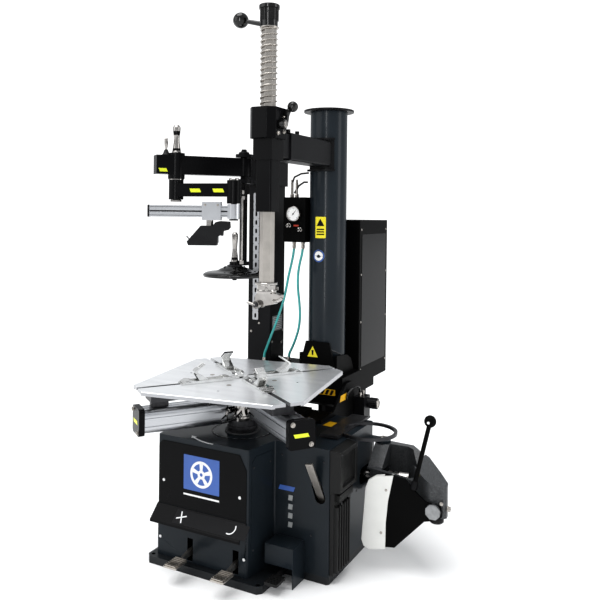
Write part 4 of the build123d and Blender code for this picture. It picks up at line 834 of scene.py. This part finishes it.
def wrap_film(name, outlines, z, angle, material, lift=FILM):
    """Sticker that follows the round column: outline in mm, x round the column."""
    build = bmesh.new()
    for points in outlines:
        dense = []
        count = len(points)
        for i in range(count):
            (x0, y0), (x1, y1) = points[i], points[(i + 1) % count]
            pieces = max(1, int(abs(x1 - x0) // PIECE))
            dense += [(x0 + (x1 - x0) * k / pieces, y0 + (y1 - y0) * k / pieces)
                      for k in range(pieces)]
        rings = []
        for radius in (COLUMN_R + lift, COLUMN_R + lift + FILM):
            rings.append([
                build.verts.new(mm(
                    COLUMN[0] + radius * cos(radians(angle) + x / COLUMN_R),
                    COLUMN[1] + radius * sin(radians(angle) + x / COLUMN_R), z + y))
                for x, y in dense
            ])
        low, high = rings
        build.faces.new(high)
        build.faces.new(list(reversed(low)))
        for i in range(len(dense)):
            j = (i + 1) % len(dense)
            build.faces.new((low[i], low[j], high[j], high[i]))
    bmesh.ops.triangulate(build, faces=[f for f in build.faces if len(f.verts) > 4])
    return piece_from(name, build, TILT, material, smooth=False)


NEAR = -88.0
wrap_film("warning_plate", [rounded(46, 86, 3)], 1160, NEAR, YELLOW)
wrap_film("warning_triangle", [[(-17, 6), (17, 6), (0, 36)]], 1160, NEAR, BLACK, lift=0.75)
wrap_film("warning_lines", [[(-16, y), (16, y), (16, y + 5), (-16, y + 5)]
                            for y in (-10, -20, -30)], 1160, NEAR, BLACK, lift=0.75)
wrap_film("column_disc", [arc(0, 0, 25, 0, 354, 24)], 1045, NEAR - 5, BLUE_FILM)
wrap_film("column_disc_ring", [ring_outline(0, 0, 19, 15, i * 180, i * 180 + 176, 14)
                               for i in range(2)], 1045, NEAR - 5, WHITE_FILM, lift=0.75)
film("foot_triangle", [[(-24, -2), (24, -2), (0, 42)]], (70, 411.8, 640), FRONT,
     TILT, YELLOW)
film("foot_triangle_mark", [[(-3, 6), (3, 6), (5, 26), (-5, 26)]], (70, 411.3, 640), FRONT,
     TILT, BLACK)
film("hatch_front", [[(-34 + 20 * k, -10), (-22 + 20 * k, -10), (-12 + 20 * k, 10),
                      (-24 + 20 * k, 10)] for k in range(4)], (120, 411.4, 505), FRONT,
     TILT, BLACK, thickness=0.3)
film("hatch_front_ground", [rounded(104, 24, 2)], (120, 411.8, 505), FRONT, TILT,
     AMBER)
film("hatch_cheek", [[(-36, -12), (30, -12), (38, 12), (-28, 12)]], (214, 401, 496), RIGHT,
     "machine", AMBER)
film("hatch_top", [[(-26, -24), (22, -30), (26, 24), (-22, 30)]], (251, 216, TOP), UP,
     "machine", AMBER, up=BACK)

turned("column_plug", [(62, 0), (62, 1.6), (58, 2.2), (0, 2.2)], level(*COLUMN, 1640.2), 48,
       TILT, PLASTIC)

# Weld seam of the column's foot.
build = bmesh.new()
seam = [(COLUMN[0] + 77.5 * cos(radians(a)), COLUMN[1] + 77.5 * sin(radians(a)),
         640 + 38 * cos(radians((a + 90) * 1.1))) for a in range(-165, -14, 6)]
add_tube(build, seam, 2.6, 8)
piece_from("foot_weld", build, TILT, HAMMER)

# ---- tower cover ----

TOWER_X, TOWER_Y = (10.0, 190.0), (604.0, 925.0)
dome_screws("tower_screws",
            [(TOWER_X[1], y, z) for y in (622, 906) for z in (560, 760, 960, 1150)],
            RIGHT, 4.5, TILT, ZINC)
for name, size, spot, normal, paint, thickness in (
    ("tower_door", (276, 560, 4), (TOWER_X[1] + 0.1, 765, 850), RIGHT, BLACK_GLOSS, 1.2),
    ("tower_lower_plate", (70, 120, 4), (TOWER_X[1] + 0.1, 648, 400), RIGHT, BLACK, 1.2),
    ("tower_front_plate", (150, 300, 4), (100, TOWER_Y[0] - 0.1, 1010), FRONT, BLACK_GLOSS, 1.2),
    ("tower_back_plate", (150, 620, 6), (100, TOWER_Y[1] - 0.9, 850), BACK, BLACK_GLOSS, 0.8),
    ("tower_left_door", (276, 560, 4), (TOWER_X[0] - 0.1, 765, 850), (-1, 0, 0), BLACK_GLOSS, 1.2),
):
    film(name, [rounded(*size)], spot, normal, TILT, paint, thickness)

# ---- head and shaft ----

SHAFT_X = 93.0
HEAD_TOP = 1582.0
SPRING = (1583.5, 1864.5)
TURNS, STEPS = 14, 20         # turns of the spring, points in each
COIL_R, WIRE_R = 29, 2.4
build = bmesh.new()
path = []
for i in range(TURNS * STEPS + 1):
    t = i / (TURNS * STEPS)
    height = SPRING[0] + 2.5 + (SPRING[1] - SPRING[0] - 5) * t
    path.append((SHAFT_X + COIL_R * cos(2 * pi * TURNS * t), COIL_R * sin(2 * pi * TURNS * t),
                 height))
add_tube(build, path, WIRE_R, 8)
spring = piece_from("shaft_spring_coil", build, "tool_arm", ZINC, "zinc")
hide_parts("shaft_spring")
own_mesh(spring)

build = bmesh.new()
cap = level(SHAFT_X, 0, 1888)
for k in range(28):
    turn = cap @ Matrix.Rotation(2 * pi * k / 28, 4, "Z") @ Matrix.Translation(mm(31.4, 0, 0))
    add_prism(build, rounded(3.2, 3.4, 1.2, steps=3), 40, turn)
piece_from("cap_ribs", build, "tool", GLOSS_PLASTIC)
turned("spring_seat_top", [(34, 0), (34, 3), (33, 3.8), (28, 3.8)], level(SHAFT_X, 0, 1862), 40,
       "tool", ZINC)
turned("spring_seat_foot", [(38, 0), (38, 1.6), (34, 2.2)], level(SHAFT_X, 0, HEAD_TOP), 40,
       "tool_arm", ZINC)

bolts("head_bolts", [(144.3, 20, 1550), (144.3, 20, 1500), (144.3, -20, 1492)], RIGHT, 6, 5,
      "tool_arm", ZINC)
turned("lock_lever_nut", [(13, 0), (13, 3), (9, 4), (9, 7), (5, 8)],
       frame_matrix((164.6, -6, 1523), RIGHT), 24, "lock", CHROME)

# Mounting tool: collar with set screws, bent horn, pin and roller.
build = bmesh.new()
collar = level(SHAFT_X, 0, 965)
add_lathe(build, [(37.6, 0), (39, 1.5), (39, 7), (37.6, 9), (28, 9.4)], collar, 48)
add_lathe(build, [(34, -29), (35.4, -26), (35.4, -18), (34, -15)], collar, 48)
for angle in (-60, 30, 150):
    outwards = heading(angle)
    matrix = frame_matrix((SHAFT_X + 33 * outwards[0], 33 * outwards[1], 952), outwards)
    add_lathe(build, [(7, 0), (7, 8), (6, 9.4), (3, 9.4), (2.8, 6), (0, 6)], matrix, 6)
piece_from("tool_collar", build, "tool", CHROME)
build = bmesh.new()
horn = [(SHAFT_X + 30, -6, 914), (SHAFT_X + 48, -16, 912), (SHAFT_X + 62, -20, 916),
        (SHAFT_X + 74, -18, 924)]
add_tube(build, horn, 6.0, 14)
left_pin = [(SHAFT_X - 26, -30, 896), (SHAFT_X - 46, -28, 899), (SHAFT_X - 62, -26, 903)]
add_tube(build, left_pin, 5.0, 14)
add_lathe(build, [(14, 0), (14.6, 2), (14.6, 44), (14, 46)],
          frame_matrix((SHAFT_X - 26, -30, 896), (0, 1, 0)), 32)
piece_from("tool_horns", build, "tool", CHROME)
turned("tool_roller_plug", [(9, 0), (9, 2), (7, 3), (0, 3)],
       frame_matrix((SHAFT_X - 26, -31, 896), FRONT), 24, "tool", DARK_STEEL)

# ---- helper ----

build = bmesh.new()
RAIL = (-206, -178, 770, 1300)
hole_r = 4.6
width = RAIL[1] - RAIL[0]
matrix = frame_matrix(((RAIL[0] + RAIL[1]) / 2, 396.1, RAIL[2]), FRONT)
cells = 15
cell = (RAIL[3] - RAIL[2]) / cells
for k in range(cells):
    y0 = k * cell
    mid = y0 + cell / 2
    hole = (arc(0, mid + 5, hole_r, 0, 180, 8) + arc(0, mid - 5, hole_r, 180, 360, 8))
    outer = []
    for x, y in hole:
        dx, dy = x, y - mid
        stretch = min(width / 2 / max(abs(dx), 0.01), cell / 2 / max(abs(dy), 0.01))
        outer.append((dx * stretch, mid + dy * stretch))
    inner_low = [build.verts.new(matrix @ mm(x, y, 0.6)) for x, y in hole]
    outer_low = [build.verts.new(matrix @ mm(x, y, 0.6)) for x, y in outer]
    inner_back = [build.verts.new(matrix @ mm(x, y, 0)) for x, y in hole]
    for i in range(len(hole)):
        j = (i + 1) % len(hole)
        build.faces.new((inner_low[i], inner_low[j], outer_low[j], outer_low[i]))
        build.faces.new((inner_back[i], inner_back[j], inner_low[j], inner_low[i]))
piece_from("helper_rail_face", build, TILT, PLATE_STEEL, smooth=False)
film("post_label", [rounded(84, 64, 2)], (-122, 459, 754), RIGHT, TILT, GREY_FILM)
film("post_label_lines", [[(-36, y), (36, y), (36, y + 3), (-36, y + 3)]
                          for y in (-26, -18, -10, -2, 6, 14, 22)], (-121.5, 459, 754),
     RIGHT, TILT, WHITE_FILM)
dome_screws("post_screws", [(-140, 400, 1275), (-176, 400, 756), (-214, 400, 720)], FRONT, 5,
            TILT, ZINC)
dome_screws("post_side_screws", [(-122, 505, 719), (-122, 494, 668), (-122, 417, 680)],
            RIGHT, 5, TILT, ZINC)

PIVOT, ELBOW, WRIST, DISC = (-176, 270), (-349, 57), (-116, 107), (-200, 246)
turned("elbow_handle", [(18, 1443.5), (18, 1449), (15.4, 1453), (14.8, 1462), (11.4, 1484),
       (11, 1500), (12.4, 1518), (14.8, 1534), (14.6, 1543), (9, 1551.5), (0, 1552.5)],
       level(*ELBOW, 0), 40, "helper_upper", CHROME)
turned("disc_handle", [(15, 1020.2), (15, 1025), (13, 1029), (12.6, 1042), (9.8, 1062),
       (9.6, 1078), (11, 1096), (12.8, 1118), (12, 1130), (6, 1137.5), (0, 1138.8)],
       level(*DISC, 0), 40, "disc_swing", CHROME)

upper_angle = degrees(atan2(ELBOW[1] - PIVOT[1], ELBOW[0] - PIVOT[0]))
lower_angle = degrees(atan2(WRIST[1] - ELBOW[1], WRIST[0] - ELBOW[0]))
small = along(PIVOT, upper_angle, 315)
turned("valve_boot", [(16, 1433), (16, 1436), (12, 1440), (8, 1452), (5, 1456)], level(*small, 0),
       24, "helper_upper", RUBBER)
turned("valve_lever", [(4, 1452), (4, 1462), (6, 1466), (7, 1484), (7, 1497), (4, 1500),
       (0, 1500.5)], level(*small, 0), 24, "helper_upper", CHROME)

# Rings on the elbow's pin, nut of the pivot and cap of the wrist.
build = bmesh.new()
for z0, z1, r in ((1256, 1262, 21.5), (1340, 1343, 30)):
    add_lathe(build, [(r, z0), (r, z1)], level(*ELBOW, 0), 40)
piece_from("elbow_rings", build, "helper_lower", CHROME)
turned("pivot_nut", [(24, 1450), (24, 1456), (20, 1459), (12, 1459), (12, 1468), (9, 1470),
       (0, 1470)], level(*PIVOT, 0), 6, "helper_lift", BLACK)
turned("wrist_cap", [(20, 1338), (20, 1343), (17, 1346), (8, 1346), (0, 1346)], level(*WRIST, 0),
       32, "helper_lower", CHROME)


def arm_film(name, start, angle, distance, offset, z, size, body):
    """Lime slanted sticker on an arm's side, left of its direction where offset is positive."""
    a = radians(angle)
    sign = 1 if offset > 0 else -1
    w, h = size
    film(name, [[(-w / 2 + 6, -h / 2), (w / 2, -h / 2), (w / 2 - 6, h / 2), (-w / 2, h / 2)]],
         (*along(start, angle, distance, offset), z), (-sin(a) * sign, cos(a) * sign, 0), body,
         LIME)


arm_film("upper_sticker", PIVOT, upper_angle, 332, 28.1, 1376, (36, 13), "helper_upper")
arm_film("lower_sticker_a", ELBOW, lower_angle, 90, -23.1, 1299, (48, 14), "helper_lower")
arm_film("lower_sticker_b", ELBOW, lower_angle, 184, -23.1, 1299, (48, 14), "helper_lower")

# Rod beside the disc bar with its two clamps.
ROD_SPOT = (-166, 244)
build = bmesh.new()
add_tube(build, [(*ROD_SPOT, 1012), (*ROD_SPOT, 1150), (*ROD_SPOT, 1288)], 4.5, 16)
for z, r in ((1012, 9), (1268, 12), (1290, 9)):
    add_lathe(build, [(r, z), (r, z + 14), (r * 0.8, z + 16)],
              level(*ROD_SPOT, 0), 6)
piece_from("disc_rod", build, "disc_swing", CHROME)
build = bmesh.new()
for z in (1018, 1284):
    matrix = level(-171, 256, z)
    add_prism(build, rounded(26, 34, 5), 7, matrix)
piece_from("disc_rod_brackets", build, "disc_swing", BLACK)

# Slide bar: dark end cap, a dark strip of painted shade for its groove, dark lines of painted shade
# along its edges, slider's screws, ribs of the press block.
BAR_ANGLE = 207.7
BAR_MID_Z = 1220
bar_dir = heading(BAR_ANGLE)
face_normal = (-sin(radians(BAR_ANGLE)), cos(radians(BAR_ANGLE)), 0)


def bar_spot(distance, offset, z):
    x, y = along(WRIST, BAR_ANGLE, distance)
    return (x + face_normal[0] * offset, y + face_normal[1] * offset, z)


film("bar_end_cap", [rounded(30, 44, 3)], (*along(WRIST, BAR_ANGLE, 321), BAR_MID_Z), bar_dir,
     "helper_bar", PLASTIC, thickness=2)
# Painted shade: a dark strip where the groove's shade falls.
film("bar_groove_painted_shade", [rounded(292, 5.6, 0.5)], bar_spot(168, 11.0, BAR_MID_Z), face_normal,
     "helper_bar", DARK_STEEL)
film("bar_end_edge", [rounded(6, 46, 1)], bar_spot(318.5, 16.0, BAR_MID_Z), face_normal,
     "helper_bar", PLASTIC)
# Painted shade: dark lines along the bar's edges.
film("bar_edges_painted_shade", [[(-146, y), (146, y), (146, y + 1.6), (-146, y + 1.6)]
                        for y in (-16.5, 15)], bar_spot(168, 15.0, BAR_MID_Z), face_normal,
     "helper_bar", DARK_STEEL)
bolts("slider_bolts", [bar_spot(d, 24.2, z) for d, z in ((58, 1244), (106, 1244))],
      face_normal, 3.6, 1.5, "helper_press", ZINC, 24)
build = bmesh.new()
for z0, z1, r in ((1158, 1188, 13), (1150, 1160, 17)):
    add_lathe(build, [(r, z0), (r, z1)], level(*along(WRIST, BAR_ANGLE, 90), 0), 32)
piece_from("press_stem", build, "helper_press", CHROME)
build = bmesh.new()
press = frame_matrix(bar_spot(0, 20.1, 0), face_normal)
for k in range(5):            # slanted ribs; local x runs back along the bar
    x0 = -70 - 19 * k
    add_prism(build, [(x0 - 26, 1128), (x0 - 31, 1128), (x0 - 5, 1098), (x0, 1098)], 1.2, press)
piece_from("press_ribs", build, "helper_press", PLASTIC, smooth=False)

build = bmesh.new()
disc = level(*DISC, 0)
add_lathe(build, [(30, 1003), (30, 1006), (26, 1008), (18, 1008)], disc, 48)
for k in range(6):
    a = 2 * pi * k / 6
    matrix = disc @ Matrix.Translation(mm(44 * cos(a), 44 * sin(a), 997.5))
    add_lathe(build, [(4.5, 0), (4.5, 2.6), (3.6, 3.4)], matrix, 6)
piece_from("disc_hub_screws", build, "disc_roller", DARK_STEEL)

# ---- air panel ----

GAUGE = (-20, 1214)
turned("gauge_bezel", [(31, -17), (31.4, 0), (31, 2.4), (29, 3.2), (27.4, 2.8), (27, 0.6)],
       frame_matrix((GAUGE[0], 402, GAUGE[1]), FRONT), 48, TILT, CHROME)
film("gauge_face", [arc(0, 0, 27.2, 0, 352.5, 47)], (GAUGE[0], 401.25, GAUGE[1]), FRONT,
     TILT, DIAL)
ticks = []
for k in range(21):
    d, n = axes(225 - 13.5 * k)
    length, half = (6, 0.6) if k % 5 == 0 else (3.4, 0.35)
    ticks.append([tuple(d * r + n * w) for r, w in
                  ((25 - length, -half), (25, -half), (25, half), (25 - length, half))])
film("gauge_ticks", ticks, (GAUGE[0], 400.80, GAUGE[1]), FRONT, TILT, BLACK,
     thickness=0.3)
nd, nn = axes(48)
film("gauge_needle", [[tuple(nd * -7 + nn * -1.2), tuple(nd * 20 + nn * -0.4),
                       tuple(nd * 20 + nn * 0.4), tuple(nd * -7 + nn * 1.2)],
                      arc(0, 0, 3, 0, 345, 15)], (GAUGE[0], 400.35, GAUGE[1]), FRONT,
     TILT, BLACK, thickness=0.6)
film("panel_label", [rounded(24, 7, 1.5)], (-16, 419.8, 1166), FRONT, TILT, RED_FILM)
build = bmesh.new()
for x, z in ((-48, 1166), (4, 1150)):
    add_lathe(build, [(9, 0), (9, 3), (6.5, 4), (6.5, 12), (7.5, 13), (7.5, 20), (5, 22), (0, 22)],
              frame_matrix((x, 420, z), FRONT), 20)
piece_from("panel_knobs", build, TILT, CHROME)
build = bmesh.new()
for x in (-52, -30):
    add_lathe(build, [(5.5, 0), (5.5, 60), (4.5, 62), (4.5, 74)],
              level(x, 450, 1282), 16)
    add_lathe(build, [(9, 0), (9, 12), (7, 14)], level(x, 450, 1282), 6)
piece_from("panel_pipes", build, TILT, ZINC)
build = bmesh.new()
add_tube(build, [(-41, 450, 1300), (-20, 448, 1330), (2, 452, 1345), (14, 462, 1345)], 4, 12)
add_tube(build, [(-52, 450, 1340), (-40, 446, 1366), (-10, 450, 1380), (14, 470, 1384)], 4, 12)
piece_from("panel_air_pipes", build, TILT, GLOSS_PLASTIC)

# ---- air unit ----

build = bmesh.new()
KNOB = (302, 540, 450)
knob = frame_matrix(KNOB, RIGHT)
for k in range(18):
    turn = knob @ Matrix.Rotation(2 * pi * k / 18, 4, "Z") @ Matrix.Translation(mm(20.6, 0, -30))
    add_prism(build, rounded(3.4, 3.8, 1.2, steps=3), 29, turn)
piece_from("regulator_ribs", build, "machine", PLASTIC)
build = bmesh.new()
add_lathe(build, [(17, 0), (17, 3), (14, 4), (14, 2), (0, 2)],
          knob, 32)
for y, z in ((510, 490), (540, 492)):
    add_lathe(build, [(5, 0), (5, 8), (7, 9), (7, 18), (4, 20)],
              level(238, y, z - 14), 6)
piece_from("regulator_fittings", build, "machine", ZINC)
build = bmesh.new()
add_tube(build, [(238, 510, 494), (238, 500, 516), (236, 478, 526), (228, 452, 522),
                 (220, 428, 508), (219, 418, 486)], 4, 12)
piece_from("regulator_pipe", build, "machine", GLOSS_PLASTIC)

# ---- bead breaker ----

BLADE_PIN, PIN_ANGLE, BLADE_Z = (660, 152), -86, 240
pin_dir = heading(PIN_ANGLE)


def pin_spot(distance, z=BLADE_Z, across=0.0):
    x, y = along(BLADE_PIN, PIN_ANGLE, distance, across)
    return (x, y, z)


build = bmesh.new()
octagon = frame_matrix(pin_spot(32.1), pin_dir)
for radius, thickness in ((25.8, 0.8), (23.0, 1.8)):
    corner = [radians(22.5 + 45 * k) for k in range(8)]
    add_prism(build, [(radius * cos(a), radius * sin(a)) for a in corner], thickness, octagon)
piece_from("pin_head_plate", build, "breaker", WORN_STEEL)
bolts("pin_lock_bolt", [(702, 158, 246)], RIGHT, 8, 8, "breaker", ZINC)
bolts("pin_small_bolt", [pin_spot(20, 268, 26)], pin_dir, 5, 4, "breaker", ZINC)
film("arm_triangle", [[(-22, -14), (22, -14), (4, 20)]], (596, 196, 322.6),
     (0.22, 0.16, 1.0), "breaker", YELLOW, thickness=0.6, up=(-0.5, 0.86, 0))
turned("arm_stop", [(22, 0), (24, 4), (24, 16), (20, 20), (0, 20)],
       level(664, 160, 214, (0, 0, -1)), 32, "breaker", RUBBER)

blade_angle = PIN_ANGLE - 90


def blade_spot(distance, z, out):
    x, y = along(along(BLADE_PIN, PIN_ANGLE, out), blade_angle, distance)
    return (x, y, z)


bolts("pad_screws", [blade_spot(161, 284, 24.6), blade_spot(177, 137, 24.6)], pin_dir, 3.6, 1.2,
      "breaker_blade", ZINC, 20)
# Painted highlight: a white glint on the handle's glossy black ball.
turned("handle_ball_painted_highlight", [(4.5, 0), (4.5, 1.0), (0, 1.2)], frame_matrix((648, 110, 534), FRONT),
       20, "breaker_blade", WHITE_FILM)
build = bmesh.new()
start, end = Vector((591, 131, 296)), Vector((648, 130, 534))
axis = end - start
add_lathe(build, [(12, 6), (12, 26), (8, 34)], frame_matrix(start, axis, (0, 1, 0)), 24)
piece_from("handle_socket", build, "breaker_blade", BLACK)

# Nuts of the breaker's rod, its hinge bolt, and screws by the side pad.
build = bmesh.new()
ROD_START, ROD_END = (150, 238), (497, 282)
rod_angle = degrees(atan2(ROD_END[1] - ROD_START[1], ROD_END[0] - ROD_START[0]))
rod_dir = heading(rod_angle)
for reach in (300, 322):
    matrix = frame_matrix((*along(ROD_START, rod_angle, reach), 268), rod_dir)
    add_lathe(build, [(21, 0), (22, 2), (22, 12), (20, 14)], matrix, 6)
piece_from("rod_nuts", build, "breaker_ram_rod", ZINC)
bolts("hinge_bolts", [(400, 352, 375.2)], UP, 12, 9, "machine", ZINC)
dome_screws("pad_edge_screws", [(403.1, y, z) for y in (-30, 92) for z in (272, 426)],
            RIGHT, 4.5, "machine", DARK_STEEL)
